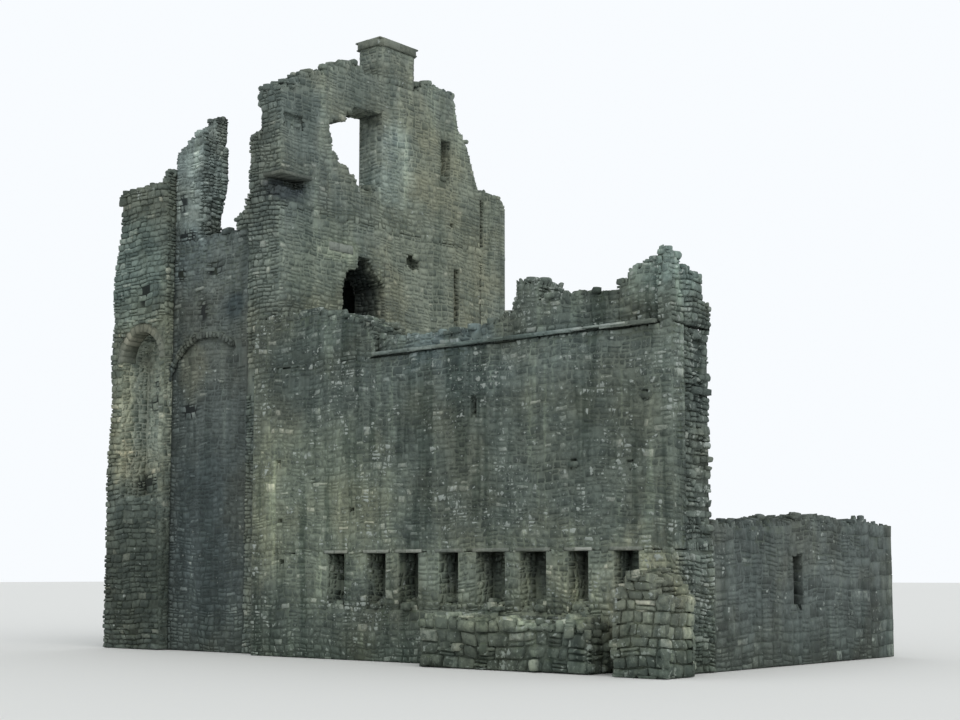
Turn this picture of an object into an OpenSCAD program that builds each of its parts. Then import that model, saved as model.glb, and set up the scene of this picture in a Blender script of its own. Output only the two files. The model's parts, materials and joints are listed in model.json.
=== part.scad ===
// Ruined stone castle keep: a front range with a row of beam sockets, a tall cross wall with a
// broken window and doorway, and a vaulted west cell with a torn mural recess.
// X runs along the front wall, Y runs back into the building, Z is up. Lengths in millimetres.

/* [Front wall] */
// Length of the front wall
front_len = 12560; // [12000:20:13200]
// Thickness of the front wall
front_thick = 1510; // [1300:10:1700]
// Height of the ledge that crowns the front wall
ledge_z = 7130; // [6900:10:7300]
// Height of the ledge stones
ledge_high = 90; // [60:5:120]
// How far the ledge stands out of the front wall
ledge_out = 100; // [60:5:140]
// Where the ledge starts, from the left end
ledge_start = 4200; // [3900:10:4400]
// Where the ledge ends, from the left end
ledge_end = 12200; // [11900:10:12300]
// How far the parapet stands back from the wall face
parapet_back = 150; // [120:5:200]
// Thickness of the parapet
parapet_thick = 900; // [700:10:1100]
// Height of the parapet's left stretch above the ledge
parapet_west_high = 1300; // [1100:10:1400]
// Height of the parapet's low middle stretch above the ledge
parapet_low = 640; // [500:10:700]
// Left side of the lump that is left of the parapet
lump_west = 8140; // [7900:10:8400]
// Width of that lump
lump_wide = 900; // [700:10:1100]
// Height of that lump above the ledge
lump_high = 1290; // [1100:10:1400]
// Height of the worn stretch between the lump and the corner peak, above the ledge
dip_high = 880; // [700:10:950]
// Left side of the torn corner peak
peak_west = 11120; // [10900:10:11300]
// Height of the corner peak above the ledge
peak_high = 1550; // [1400:10:1700]
// How far the torn core stands back in the wall's right end
end_bite = 90; // [50:5:140]
// Where the torn core starts behind the face
end_face = 480; // [350:10:600]
// Longest reach of the bond stones out of the torn core
tusk_out = 130; // [80:5:160]
// Height of a bond stone
tusk_high = 170; // [120:5:200]
// Height of the lowest bond stone
tusk_foot = 2600; // [2520:10:3000]

/* [Beam sockets] */
// Centre of each beam socket, from the left end
socket_x = [2980, 4300, 5320, 6540, 7760, 8940, 10150, 11370];
// Width of each beam socket
socket_wide = [560, 600, 600, 560, 800, 700, 500, 600];
// Height of the socket sills at the wall face
socket_sill = 1200; // [1100:10:1300]
// Height of the socket heads
socket_head = 2500; // [2400:10:2600]
// Depth of the sockets into the wall
socket_deep = 620; // [500:10:750]
// How far a socket sill rises towards its back
socket_rise = 250; // [150:10:350]
// Height of the lintel slabs over the sockets
lintel_high = 80; // [60:5:110]
// Bearing of a lintel slab at each side of its socket
lintel_bearing = 120; // [80:5:150]
// Depth of the lintel slabs
lintel_deep = 400; // [300:10:500]

/* [Putlog holes] */
// Middle of each putlog hole, from the left end
putlog_x = [940, 2210, 1030, 11880, 10050, 11490, 3500];
// Height of each putlog hole's foot
putlog_z = [4650, 4160, 3190, 5610, 4270, 4180, 3420];
// Middle of the putlog hole beside the sockets
low_putlog_x = 1110; // [1050:10:1200]
// Height of that hole's foot
low_putlog_z = 2200; // [2100:10:2300]
// Side of the square putlog holes
putlog_side = 150; // [110:5:180]
// Depth of the putlog holes
putlog_deep = 450; // [300:10:600]
// Middle of the narrow upright hole in the front wall
narrow_x = 7280; // [7100:10:7400]
// Height of its foot
narrow_z = 5510; // [5400:10:5600]
// Height of the narrow upright hole
narrow_high = 460; // [380:10:520]

/* [Front room] */
// Clear depth of the front room, from the front wall to the north wall
room_deep = 7030; // [6700:10:7400]
// Thickness of the north wall
north_thick = 1200; // [1000:10:1400]
// Thickness of the east wall
east_thick = 1510; // [1300:10:1700]
// Height of the east wall's tallest part
east_high = 3300; // [3000:20:3600]
// Left side of the north doorway, from the front wall's left end
north_door_x = 5600; // [5200:20:6200]
// Width of the north doorway
north_door_wide = 1300; // [1100:10:1500]
// Height where the north doorway's arch springs
north_door_spring = 1700; // [1500:10:1900]
// Height of the broken top over the north doorway
north_head_top = 3900; // [3600:20:4200]
// Height of the north wall beside the cross wall
north_west_high = 7400; // [7000:20:7600]
// Height of the north wall's east half
north_east_high = 3300; // [3000:20:3600]
// Height of the tall stub left of the north wall
stub_top = 13320; // [13000:20:13600]
// Width of the narrow slot beside the tall stub
slot_wide = 150; // [110:5:180]
// Height of the slot's foot above the window stage's floor
slot_foot = 20; // [0:10:150]
// Height of the narrow slot
slot_high = 1440; // [1200:10:1500]
// Depth of the narrow slot
slot_deep = 600; // [400:10:700]

// Height of the foot of the loops in the low walls
room_loop_foot = 1250; // [1100:10:1400]

/* [Cross wall] */
// Thickness of the cross wall up to the window stage
cross_thick = 1190; // [1100:10:1300]
// How far the cross wall's east face stands past the front wall's left end
cross_lap = 310; // [200:10:400]
// Thickness of the cross wall at the window stage
upper_thick = 920; // [850:10:1000]
// Distance of the west cell's south face behind the front face
cell_back = 530; // [450:10:650]
// Top of the ground stage
ground_top = 4400; // [4200:20:4600]
// Height of the doorway's floor
door_floor = 8500; // [8450:10:8600]
// Height of the window stage's floor
window_floor = 11500; // [11400:10:11600]
// Left side of the ground doorway through the cross wall, behind the front face
ground_door_y = 5400; // [5000:20:5700]
// Width of the ground doorway
ground_door_wide = 1100; // [900:10:1300]
// Height where the ground doorway's arch springs
ground_door_spring = 1600; // [1400:10:1800]
// South side of the broken doorway, behind the front face
door_y = 2880; // [2700:10:3000]
// Width of the broken doorway
door_wide = 1610; // [1400:10:1750]
// Height of the broken doorway at its highest point
door_high = 2050; // [1850:10:2200]
// Length of the pale lintel stone over the doorway
door_lintel_long = 900; // [800:10:950]
// Height of that stone
door_lintel_high = 240; // [180:10:280]
// Depth of that stone into the wall
door_lintel_deep = 300; // [200:10:400]
// South side of the broken window, behind the front face
window_y = 2300; // [2200:10:2400]
// Width of the broken window
window_wide = 2040; // [1900:10:2100]
// Height of the window head above the window stage's floor
window_head = 3200; // [3100:10:3250]
// Height of the wall that is left above the window
head_high = 1000; // [900:10:1100]
// Height of the broken breast that is left in the window
breast_high = 2400; // [2200:10:2500]
// Width of the bite in the south part's inner corner
corner_bite = 150; // [100:10:220]
// Height of that bite above the broken return
corner_high = 720; // [600:10:800]
// Height of the worn ridge north of the chimney, above the window stage's floor
ridge_high = 4530; // [4300:10:4700]
// Centre of the narrow loop, behind the front face
loop_y = 7020; // [6900:10:7100]
// Width of the narrow loop
loop_wide = 390; // [300:10:450]
// Height of the narrow loop's foot above the window stage's floor
loop_foot = 1800; // [1700:10:1900]
// Height of the narrow loop
loop_high = 1200; // [1000:10:1300]
// Width of the embrasure that a loop opens into, at the wall's inner face
loop_splay = 900; // [700:10:1100]
// Height of the tall slit's foot
slit_z = 9110; // [9050:10:9300]
// Centre of the tall slit, behind the front face
slit_y = 7500; // [7400:10:7700]
// Width of the tall slit
slit_wide = 220; // [160:10:260]
// Height of the tall slit
slit_high = 1670; // [1500:10:1800]
// Depth of the tall slit into the wall
slit_deep = 700; // [500:10:850]
// South side of the hole that a lost stone left, behind the front face
lost_y = 5370; // [5200:10:5500]
// Height of that hole's foot
lost_z = 10470; // [10400:10:10600]
// Width of that hole
lost_wide = 530; // [400:10:600]
// Height of that hole
lost_high = 440; // [350:10:500]
// Depth of that hole
lost_deep = 320; // [200:10:450]
// Height of the blocked socket's foot above the window stage's floor
blocked_foot = 2120; // [2000:10:2200]
// Width of the blocked socket
blocked_wide = 680; // [500:10:750]
// Height of the blocked socket
blocked_high = 320; // [250:10:400]
// How far the blocking stands back from the wall face
blocked_deep = 90; // [50:5:150]

/* [Fireplace] */
// Height of the broken fireplace's foot above the window stage's floor
pocket_foot = 430; // [380:10:480]
// Height of the hollow that is left of the fireplace
pocket_high = 330; // [280:10:400]
// Length of the hollow along the wall
pocket_long = 900; // [800:10:1000]
// Depth of the hollow
pocket_deep = 410; // [300:10:500]
// Height of the hood stone
hood_high = 100; // [70:5:130]
// How far the hood stone stands out of the wall
hood_out = 150; // [100:5:200]
// Bearing of the hood stone in the wall
hood_bearing = 130; // [80:5:200]

/* [Chimney] */
// South side of the chimney stack, behind the front face
stack_y = 4230; // [4180:10:4300]
// Width of the chimney stack along the cross wall
stack_wide = 1520; // [1450:10:1600]
// Height of the chimney stack above the wall head
stack_high = 960; // [850:10:1100]
// Width of the worn chamfers on the stack's corners
stack_chamfer = 120; // [80:10:200]
// Height of the chimney cap
cap_high = 240; // [200:10:300]
// How far the cap stands out of the stack
cap_out = 40; // [30:5:80]
// Side of the square flue
flue_side = 380; // [300:10:450]

/* [West cell] */
// Clear width of the west cell
cell_wide = 2990; // [2800:10:3200]
// Thickness of the cell's south wall
cell_thick = 1200; // [1050:10:1350]
// Thickness of the west wall
west_thick = 2430; // [2200:10:2600]
// Distance of the west wall's torn end behind the front face
west_back = 260; // [150:10:350]
// How far the foot of the gap lies below the window stage's floor
gap_drop = 500; // [400:10:600]
// Height of the spike of wall above the gap
spike_high = 3440; // [3200:10:3600]
// Width of the spike at its foot
spike_wide = 1160; // [1000:10:1250]
// Thickness of each of the two leaves that are left of the spike
leaf_thick = 450; // [380:10:520]
// How far the broken return of the cross wall reaches past its west face
return_out = 530; // [400:10:600]
// Height of that broken return above the gap
return_high = 2480; // [2300:10:2600]
// Fill over the crown of each vault, up to the floor that it carries
vault_cover = 305; // [260:5:400]
// Height of the joint between the west wall's lower and upper lifts
west_joint = 9000; // [8950:10:9100]
// Height of the west wall's torn end
west_end_high = 13040; // [12900:10:13200]
// Height of the west wall behind its torn end
west_high = 11000; // [10800:10:11200]
// How far the west wall's outer face has come down
west_fall = 420; // [300:10:600]
// Height of the foot of the basement's loops
basement_loop_foot = 2600; // [2400:20:2800]
// Height of the foot of the chamber's loops above the doorway's floor
chamber_loop_foot = 950; // [850:10:1050]
// Distance of the west wall's putlog holes behind the front face
west_putlog_y = [2200, 4000, 6400, 8300];
// Height of the putlog holes in the cell's outer faces
back_putlog_z = [3300, 5700, 8100];
// Height of the cell's north wall
cell_north_high = 11900; // [11700:10:12100]
// Width of the mural recess
recess_wide = 1560; // [1400:10:1700]
// Distance of the recess from the west wall's inner face
recess_side = 250; // [200:10:350]
// Height of the recess floor
recess_floor = 4000; // [3800:20:4200]
// Height where the recess arch springs
recess_spring = 7850; // [7700:10:7900]
// Depth of the mural recess
recess_deep = 900; // [700:10:1100]
// Depth of the arch stones round the recess
arch_ring = 240; // [180:10:270]
// How far the arch stones reach into the wall
arch_deep = 450; // [350:10:550]
// Height of the band left by the vanished south vault
scar_high = 240; // [180:10:300]
// How far that band stands out of the wall
scar_out = 120; // [80:5:160]
// Radius of the vanished vault's band
scar_radius = 1800; // [1750:10:2000]
// Height of the vanished vault's crown
scar_crown = 8480; // [8300:10:8600]
// How far the band stops short of the cross wall
scar_short = 420; // [300:10:500]

/* [Foot stubs] */
// Clear space between the low footing and the torn stub
footing_gap = 710; // [500:10:900]
// Length of the low footing
footing_long = 4540; // [4200:20:4800]
// How far the low footing stands before the front wall
footing_out = 900; // [700:10:1000]
// Height of the low footing
footing_high = 1120; // [1000:10:1190]
// How far the torn stub laps the front wall, from that wall's right end
stub_lap = 810; // [700:10:900]
// How far the torn stub stands before the front wall
stub_out = 1100; // [1000:10:1300]
// How far the torn stub reaches past the front wall's right end
stub_past = 500; // [400:10:600]
// Height of the torn stub
stub_high = 2050; // [1900:10:2200]

/* [Hidden] */
arc_smooth = 64;
tusk_rows = 16;
cut = 20;

// Faces of the cross wall, the west cell and the north range, in the front wall's own frame
cross_east = cross_lap;
cross_west = cross_lap - cross_thick;
upper_west = cross_lap - upper_thick;
cell_west = cross_west - cell_wide;
cell_mid = cell_west + cell_wide / 2;
west_face = cell_west - west_thick;
cell_inner = cell_back + cell_thick;
room_back = front_thick + room_deep;
north_face = room_back + north_thick;
east_inner = front_len - east_thick;
stub_x = front_len - stub_lap;
footing_x = stub_x - footing_gap - footing_long;
right_end = front_len + stub_past;
mid_x = (west_face + right_end) / 2;
mid_y = (north_face - stub_out) / 2;

// Heights above ground that several pieces share
parapet_west_top = ledge_z + parapet_west_high;
window_head_z = window_floor + window_head;
wall_head = window_head_z + head_high;
gap_z = window_floor - gap_drop;
window_north = window_y + window_wide;
door_north = door_y + door_wide;
door_head_z = door_floor + door_high;
stack_top = wall_head + stack_high;
slot_z = window_floor + slot_foot;

// Middles of the loops
cell_loop_y = (cell_inner + room_back) / 2;
chamber_loop_y = (cell_inner + cell_loop_y) / 2;
chamber_loop_z = door_floor + chamber_loop_foot;
east_loop_y = (front_thick + room_back) / 2;
north_loop_x = (north_door_x + north_door_wide + east_inner) / 2;

// Middles and half widths of the arched openings
north_half = north_door_wide / 2;
north_mid = north_door_x + north_half;
ground_half = ground_door_wide / 2;
ground_mid = ground_door_y + ground_half;
recess_half = recess_wide / 2;
recess_mid = cell_west - recess_side - recess_half;

// Place everything about the middle of the whole footprint
module place() {
    translate([-mid_x, -mid_y, 0]) children();
}

// Wall slab from an outline drawn in X and Z, from depth y0 back by its thickness
module slab_xz(outline, y0, thick) {
    translate([0, y0 + thick, 0]) rotate([90, 0, 0]) linear_extrude(thick) polygon(outline);
}

// Wall slab from an outline drawn in Y and Z, from x0 to the right by its thickness
module slab_yz(outline, x0, thick) {
    translate([x0, 0, 0]) rotate([90, 0, 90]) linear_extrude(thick) polygon(outline);
}

// Plain block between two corners
module block(a, b) {
    translate(a) cube(b - a);
}

// Points of a torn edge: each step is a share of the way from a to b, and a share of the height above z
function torn(a, b, z, high, steps) = [for (s = steps) [a + (b - a) * s[0], z + high * s[1]]];

// Bottom edge and torn top edge of a wall from a to b, with its steps told from b back to a
function torn_wall(a, b, z, high, steps) = concat([[a, z], [b, z]], torn(b, a, z, high, steps));

// Round-headed hole through a wall along Y, drawn by its middle, spring height and half width
module arch_hole_y(mid, foot, spring, half, y0, y1) {
    block([mid - half, y0, foot], [mid + half, y1, spring]);
    translate([mid, y1, spring]) rotate([90, 0, 0]) cylinder(h = y1 - y0, r = half, $fn = arc_smooth);
}

// Round-headed hole through a wall along X
module arch_hole_x(mid, foot, spring, half, x0, x1) {
    block([x0, mid - half, foot], [x1, mid + half, spring]);
    translate([x0, mid, spring]) rotate([0, 90, 0]) cylinder(h = x1 - x0, r = half, $fn = arc_smooth);
}

// Hole in the front face by its middle, foot, width, height and depth
module face_hole(x, z, wide, high, deep) {
    block([x - wide / 2, -cut, z], [x + wide / 2, deep, z + high]);
}

// Loop through a wall along X, narrow at one face and splayed towards the other
module splayed_loop_x(mid, z, narrow_x, wide_x) {
    a = loop_wide / 2;
    b = loop_splay / 2;
    translate([0, 0, z]) linear_extrude(loop_high) polygon([
        [narrow_x, mid - a], [wide_x, mid - b], [wide_x, mid + b], [narrow_x, mid + a]
    ]);
}

// Loop through a wall along Y, narrow at one face and splayed towards the other
module splayed_loop_y(mid, z, narrow_y, wide_y) {
    a = loop_wide / 2;
    b = loop_splay / 2;
    translate([0, 0, z]) linear_extrude(loop_high) polygon([
        [mid - a, narrow_y], [mid - b, wide_y], [mid + b, wide_y], [mid + a, narrow_y]
    ]);
}

// Front wall below the sockets
module front_foot() {
    color("dimgray") place() block([0, 0, 0], [front_len, front_thick, socket_sill]);
}

// One beam socket with its sill sloping up to the back
module socket(i) {
    x0 = socket_x[i] - socket_wide[i] / 2;
    slab_yz([
        [-cut, socket_sill - cut], [-cut, socket_head + cut],
        [socket_deep, socket_head + cut], [socket_deep, socket_sill + socket_rise],
        [0, socket_sill], [0, socket_sill - cut]
    ], x0, socket_wide[i]);
}

// Front wall with the row of beam sockets
module socket_course() {
    color("dimgray") place() difference() {
        block([0, 0, socket_sill], [front_len, front_thick, socket_head]);
        for (i = [0:len(socket_x) - 1]) socket(i);
        face_hole(low_putlog_x, low_putlog_z, putlog_side, putlog_side, putlog_deep);
    }
}

// One lintel slab's box, over its socket
module lintel_box(i) {
    half = socket_wide[i] / 2 + lintel_bearing;
    block([socket_x[i] - half, 0, socket_head], [socket_x[i] + half, lintel_deep, socket_head + lintel_high]);
}

// Lintel slabs that span the sockets
module socket_lintels() {
    color("darkgray") place() for (i = [0:len(socket_x) - 1]) lintel_box(i);
}

// Space that the torn core leaves in the wall's right end
module end_hollow() {
    block([front_len - end_bite, end_face, tusk_foot - cut], [front_len + cut, front_thick + cut, ledge_z + cut]);
}

// Front wall from the socket heads to the ledge
module front_wall() {
    color("gray") place() difference() {
        block([0, 0, socket_head], [front_len, front_thick, ledge_z]);
        for (i = [0:len(socket_x) - 1]) lintel_box(i);
        for (i = [0:len(putlog_x) - 1]) face_hole(putlog_x[i], putlog_z[i], putlog_side, putlog_side, putlog_deep);
        face_hole(narrow_x, narrow_z, putlog_side, narrow_high, putlog_deep);
        end_hollow();
    }
}

// Thin projecting ledge at the foot of the parapet
module string_course() {
    color("silver") place()
        block([ledge_start, -ledge_out, ledge_z], [ledge_end, parapet_back, ledge_z + ledge_high]);
}

// Torn parapet on the left part of the front wall, flush with its face
module parapet_west() {
    outline = torn_wall(0, ledge_start, ledge_z, parapet_west_high, [
        [0, 0.32], [0.04, 0.49], [0.12, 0.69], [0.22, 0.77], [0.24, 0.83], [0.44, 0.92], [0.47, 1], [1, 1]
    ]);
    color("gray") place() slab_xz(outline, 0, front_thick);
}

// Low stretch of parapet above the middle of the ledge
module parapet_middle() {
    outline = torn_wall(ledge_start, lump_west, ledge_z, parapet_low, [
        [0, 1], [0.06, 0.8], [0.2, 0.63], [0.42, 0.52], [0.6, 0.55], [0.78, 0.6], [1, 0.66]
    ]);
    color("gray") place() slab_xz(outline, parapet_back, parapet_thick);
}

// Small upright lump of parapet, and the worn stretch to its right
module parapet_east() {
    lump = torn_wall(lump_west, lump_west + lump_wide, ledge_z, lump_high, [
        [0, 0.95], [0.1, 0.98], [0.35, 1], [0.42, 0.95], [0.5, 1], [0.72, 0.98], [0.74, 0.73], [0.86, 0.69],
        [0.88, 0.52], [1, 0.49]
    ]);
    dip = torn_wall(lump_west + lump_wide, peak_west, ledge_z, dip_high, [
        [0, 0.86], [0.2, 0.9], [0.24, 0.94], [0.42, 0.95], [0.46, 1], [0.7, 0.98], [0.74, 0.94], [1, 0.97]
    ]);
    color("gray") place() {
        slab_xz(lump, parapet_back, parapet_thick);
        slab_xz(dip, parapet_back, parapet_thick);
    }
}

// Tall torn corner at the right end of the front wall
module corner_peak() {
    front_part = torn_wall(peak_west, front_len, ledge_z, peak_high, [
        [0, 0.97], [0.24, 1], [0.3, 0.95], [0.34, 0.88], [0.5, 0.92], [0.57, 0.88], [0.62, 0.79],
        [0.76, 0.81], [0.82, 0.77], [0.84, 0.63], [0.92, 0.63], [1, 0.6]
    ]);
    // The end steps down towards the back of the wall
    side_part = torn_wall(0, front_thick, ledge_z, peak_high, [
        [0, 0.31], [0.14, 0.32], [0.2, 0.4], [0.21, 0.65], [0.4, 0.66], [0.48, 0.76],
        [0.73, 0.79], [0.75, 0.83], [0.9, 0.88], [0.92, 1], [1, 1]
    ]);
    color("gray") place() difference() {
        intersection() {
            slab_xz(front_part, 0, front_thick);
            slab_yz(side_part, peak_west, front_len - peak_west);
        }
        // The face stands back above the ledge
        block([peak_west - cut, -cut, ledge_z - cut], [ledge_end, parapet_back, ledge_z + 2 * peak_high]);
    }
}

// Bond stones left sticking out of the torn core in the right end
module end_tusks() {
    pitch = (ledge_z - tusk_foot) / tusk_rows;
    color("gray") place() for (i = [0:tusk_rows - 1]) {
        z = tusk_foot + i * pitch;
        out = tusk_out * (0.62 + 0.38 * sin(i * 73));
        y0 = end_face + (front_thick - end_face) * (0.3 + 0.3 * sin(i * 131));
        block([front_len - end_bite, y0, z], [front_len - end_bite + out, front_thick, z + tusk_high]);
    }
}

// Low torn east wall of the front room
module east_wall() {
    outline = torn_wall(front_thick, room_back, 0, east_high, [
        [0, 0.98], [0.1, 1], [0.12, 0.96], [0.3, 0.97], [0.33, 1], [0.52, 0.98],
        [0.55, 0.95], [0.68, 0.94], [0.71, 0.93], [0.78, 0.94], [0.82, 0.92], [1, 0.92]
    ]);
    color("gray") place() difference() {
        slab_yz(outline, east_inner, east_thick);
        splayed_loop_x(east_loop_y, room_loop_foot, front_len + cut, east_inner - cut);
    }
}

// North wall from the tall stub to the doorway
module north_wall_west() {
    outline = torn_wall(cross_east, north_door_x, 0, north_west_high, [
        [0, 0.57], [0.12, 0.59], [0.15, 0.64], [0.38, 0.67], [0.42, 0.74], [0.6, 0.76],
        [0.64, 0.85], [0.78, 0.87], [0.82, 0.99], [1, 1]
    ]);
    color("gray") place() slab_xz(outline, room_back, north_thick);
}

// Piece of north wall over the doorway's arch
module north_door_head() {
    color("gray") place() difference() {
        block([north_door_x, room_back, north_door_spring],
              [north_door_x + north_door_wide, north_face, north_head_top]);
        arch_hole_y(north_mid, north_door_spring - cut, north_door_spring, north_half,
                    room_back - cut, north_face + cut);
    }
}

// North wall from the doorway to the north-east corner
module north_wall_east() {
    outline = torn_wall(north_door_x + north_door_wide, front_len, 0, north_east_high, [
        [0, 0.97], [0.1, 0.95], [0.13, 0.98], [0.3, 1], [0.34, 0.93], [0.6, 0.94],
        [0.64, 0.97], [0.86, 1], [0.9, 1], [1, 1]
    ]);
    color("gray") place() difference() {
        slab_xz(outline, room_back, north_thick);
        splayed_loop_y(north_loop_x, room_loop_foot, north_face + cut, room_back - cut);
    }
}

// Tall end of the north wall that is left flush with the cross wall
module north_stub() {
    outline = torn_wall(room_back, north_face, 0, stub_top, [
        [0, 0.975], [0.06, 0.98], [0.1, 0.991], [0.5, 0.993], [0.54, 0.997], [1, 1]
    ]);
    color("gray") place() difference() {
        slab_yz(outline, cross_west, cross_thick);
        // Narrow slot beside the cross wall
        block([cross_east - slot_deep, room_back + cut, slot_z],
              [cross_east + cut, room_back + cut + slot_wide, slot_z + slot_high]);
    }
}

// Left end of the front wall, which the cross wall closes round
module front_bite() {
    block([0, cell_back - cut, -cut], [cross_east + cut, front_thick, parapet_west_top]);
}

// Ground stage of the cross wall, south of its doorway
module cross_foot_south() {
    color("darkkhaki") place() difference() {
        block([cross_west, cell_back, 0], [cross_east, ground_door_y, ground_top]);
        front_bite();
    }
}

// Ground stage of the cross wall, north of its doorway
module cross_foot_north() {
    color("darkkhaki") place()
        block([cross_west, ground_door_y + ground_door_wide, 0], [cross_east, room_back, ground_top]);
}

// Ground stage of the cross wall over the doorway's arch
module cross_door_head() {
    color("darkkhaki") place() difference() {
        block([cross_west, ground_door_y, ground_door_spring],
              [cross_east, ground_door_y + ground_door_wide, ground_top]);
        arch_hole_x(ground_mid, ground_door_spring - cut, ground_door_spring, ground_half,
                    cross_west - cut, cross_east + cut);
    }
}

// Middle stage of the cross wall, up to the doorway's floor
module cross_wall_middle() {
    color("darkkhaki") place() difference() {
        block([cross_west, cell_back, ground_top], [cross_east, room_back, door_floor]);
        front_bite();
    }
}

// Pale lintel stone let into the cross wall over the doorway
module lintel_stone(reach) {
    y0 = door_y - 0.6 * door_lintel_long;
    block([cross_east - door_lintel_deep, y0, door_head_z + cut],
          [cross_east + reach, y0 + door_lintel_long, door_head_z + cut + door_lintel_high]);
}

// The same stone as a piece
module door_lintel() {
    color("gainsboro") place() lintel_stone(0);
}

// Doorway stage, south of the doorway
module door_stage_south() {
    color("darkkhaki") place() difference() {
        block([cross_west, cell_back, door_floor], [cross_east, door_y, window_floor]);
        lintel_stone(cut);
    }
}

// Doorway stage over the broken doorway
module door_stage_head() {
    outline = concat(torn(door_y, door_north, door_floor, door_high, [
        [0, 0.56], [0.1, 0.78], [0.34, 0.84], [0.36, 1], [0.62, 0.99], [0.76, 0.84], [1, 0.66]
    ]), [[door_north, window_floor], [door_y, window_floor]]);
    color("darkkhaki") place() difference() {
        slab_yz(outline, cross_west, cross_thick);
        lintel_stone(cut);
    }
}

// Doorway stage, north of the doorway, with the tall slit and the hole of a lost stone
module door_stage_north() {
    color("darkkhaki") place() difference() {
        block([cross_west, door_north, door_floor], [cross_east, room_back, window_floor]);
        block([cross_east - slit_deep, slit_y - slit_wide / 2, slit_z],
              [cross_east + cut, slit_y + slit_wide / 2, slit_z + slit_high]);
        block([cross_east - lost_deep, lost_y, lost_z + lost_high * 0.2],
              [cross_east + cut, lost_y + lost_wide * 0.7, lost_z + lost_high]);
        block([cross_east - lost_deep, lost_y + lost_wide * 0.4, lost_z],
              [cross_east + cut, lost_y + lost_wide, lost_z + lost_high * 0.7]);
    }
}

// Hollow of the broken fireplace, open round the wall's corner
module fire_hollow() {
    block([cross_east - pocket_deep, cell_back - cut, window_floor + pocket_foot],
          [cross_east + cut, cell_back + pocket_long, window_floor + pocket_foot + pocket_high]);
}

// Hood stone let into the wall over that hollow
module hood_stone() {
    foot = window_floor + pocket_foot + pocket_high;
    block([cross_east - pocket_deep - hood_bearing, cell_back - 0.7 * hood_out, foot],
          [cross_east + hood_out, cell_back + pocket_long + hood_bearing, foot + hood_high]);
}

// The same stone as a piece
module fireplace_hood() {
    color("gainsboro") place() hood_stone();
}

// Window stage, south of the window, with its torn head and broken corner
module window_stage_south() {
    outline = concat([[cell_back, window_floor], [window_y, window_floor]],
        torn(window_y, cell_back, window_floor, wall_head - window_floor, [
            [0, 0.945], [0.14, 0.94], [0.16, 0.9], [0.38, 0.885], [0.41, 0.86], [0.6, 0.845],
            [0.63, 0.815], [0.82, 0.785], [0.85, 0.76], [1, 0.74]
        ]));
    corner_foot = gap_z + return_high;
    blocked_z = window_floor + blocked_foot;
    color("darkkhaki") place() difference() {
        slab_yz(outline, upper_west, upper_thick);
        fire_hollow();
        hood_stone();
        // Broken inner corner above the return
        block([upper_west - cut, cell_back - cut, corner_foot],
              [upper_west + corner_bite, cell_back + cell_thick / 3, corner_foot + corner_high]);
        // Blocked socket beside the south corner
        block([cross_east - blocked_deep, cell_back + 0.2 * blocked_wide, blocked_z],
              [cross_east + cut, cell_back + 1.2 * blocked_wide, blocked_z + blocked_high]);
    }
}

// Broken sill and ragged lower jamb inside the window
module window_breast() {
    outline = torn_wall(window_y, window_north, window_floor, breast_high, [
        [0, 0.45], [0.3, 0.39], [0.45, 0.4], [0.5, 0.51], [0.6, 0.53], [0.63, 0.6],
        [0.82, 0.62], [0.84, 0.71], [0.93, 0.73], [0.95, 0.9], [1, 1]
    ]);
    color("darkkhaki") place() slab_yz(outline, upper_west, upper_thick);
}

// Wall head over the window, with stones hanging from its broken soffit
module window_stage_head() {
    soffit = torn(window_y, window_north, window_head_z, head_high, [
        [0, -0.7], [0.08, -0.66], [0.1, -0.52], [0.2, -0.58], [0.31, -0.5], [0.34, -0.26],
        [0.42, -0.3], [0.46, -0.06], [1, 0]
    ]);
    top = torn(window_north, window_y, window_head_z, head_high, [
        [0, 1], [0.34, 1], [0.36, 1.12], [0.5, 1.17], [0.68, 1.1], [0.8, 1], [0.84, 0.87], [1, 0.82]
    ]);
    color("darkkhaki") place() slab_yz(concat(soffit, top), upper_west, upper_thick);
}

// Window stage, north of the window, with the narrow loop and a putlog hole
module window_stage_north() {
    head = (wall_head - window_floor) / ridge_high;
    outline = torn_wall(window_north, room_back, window_floor, ridge_high, [
        [0, 0.39], [0.03, 0.44], [0.14, 0.68], [0.23, 0.76], [0.27, 0.95], [0.32, 0.99],
        [0.53, 1], [0.62, 0.97], [0.64, head], [1, head]
    ]);
    loop_z = window_floor + loop_foot;
    color("darkkhaki") place() difference() {
        slab_yz(outline, upper_west, upper_thick);
        block([upper_west - cut, loop_y - loop_wide / 2, loop_z],
              [cross_east + cut, loop_y + loop_wide / 2, loop_z + loop_high]);
        // Putlog hole below the loop
        block([cross_east - putlog_deep, loop_y + loop_wide / 2, window_floor + loop_foot / 4],
              [cross_east + cut, loop_y + loop_wide / 2 + putlog_side, window_floor + loop_foot / 4 + putlog_side]);
    }
}

// Outline of the stack or its cap in plan, with worn chamfers, grown by an overhang
module stack_plan(grow) {
    x0 = upper_west - grow;
    x1 = cross_east + grow;
    y0 = stack_y - grow;
    y1 = stack_y + stack_wide + grow;
    c = stack_chamfer;
    polygon([
        [x0 + c, y0], [x1 - c, y0], [x1, y0 + c], [x1, y1 - c],
        [x1 - c, y1], [x0 + c, y1], [x0, y1 - c], [x0, y0 + c]
    ]);
}

// Square flue in plan
module flue_plan() {
    translate([(upper_west + cross_east - flue_side) / 2, stack_y + (stack_wide - flue_side) / 2])
        square(flue_side);
}

// Chimney stack on the wall head, with its flue
module chimney_stack() {
    color("darkkhaki") place() translate([0, 0, wall_head]) linear_extrude(stack_high) difference() {
        stack_plan(0);
        flue_plan();
    }
}

// Worn cap slab on the chimney stack
module chimney_cap() {
    color("silver") place() translate([0, 0, stack_top]) linear_extrude(cap_high) difference() {
        stack_plan(cap_out);
        flue_plan();
    }
}

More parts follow.
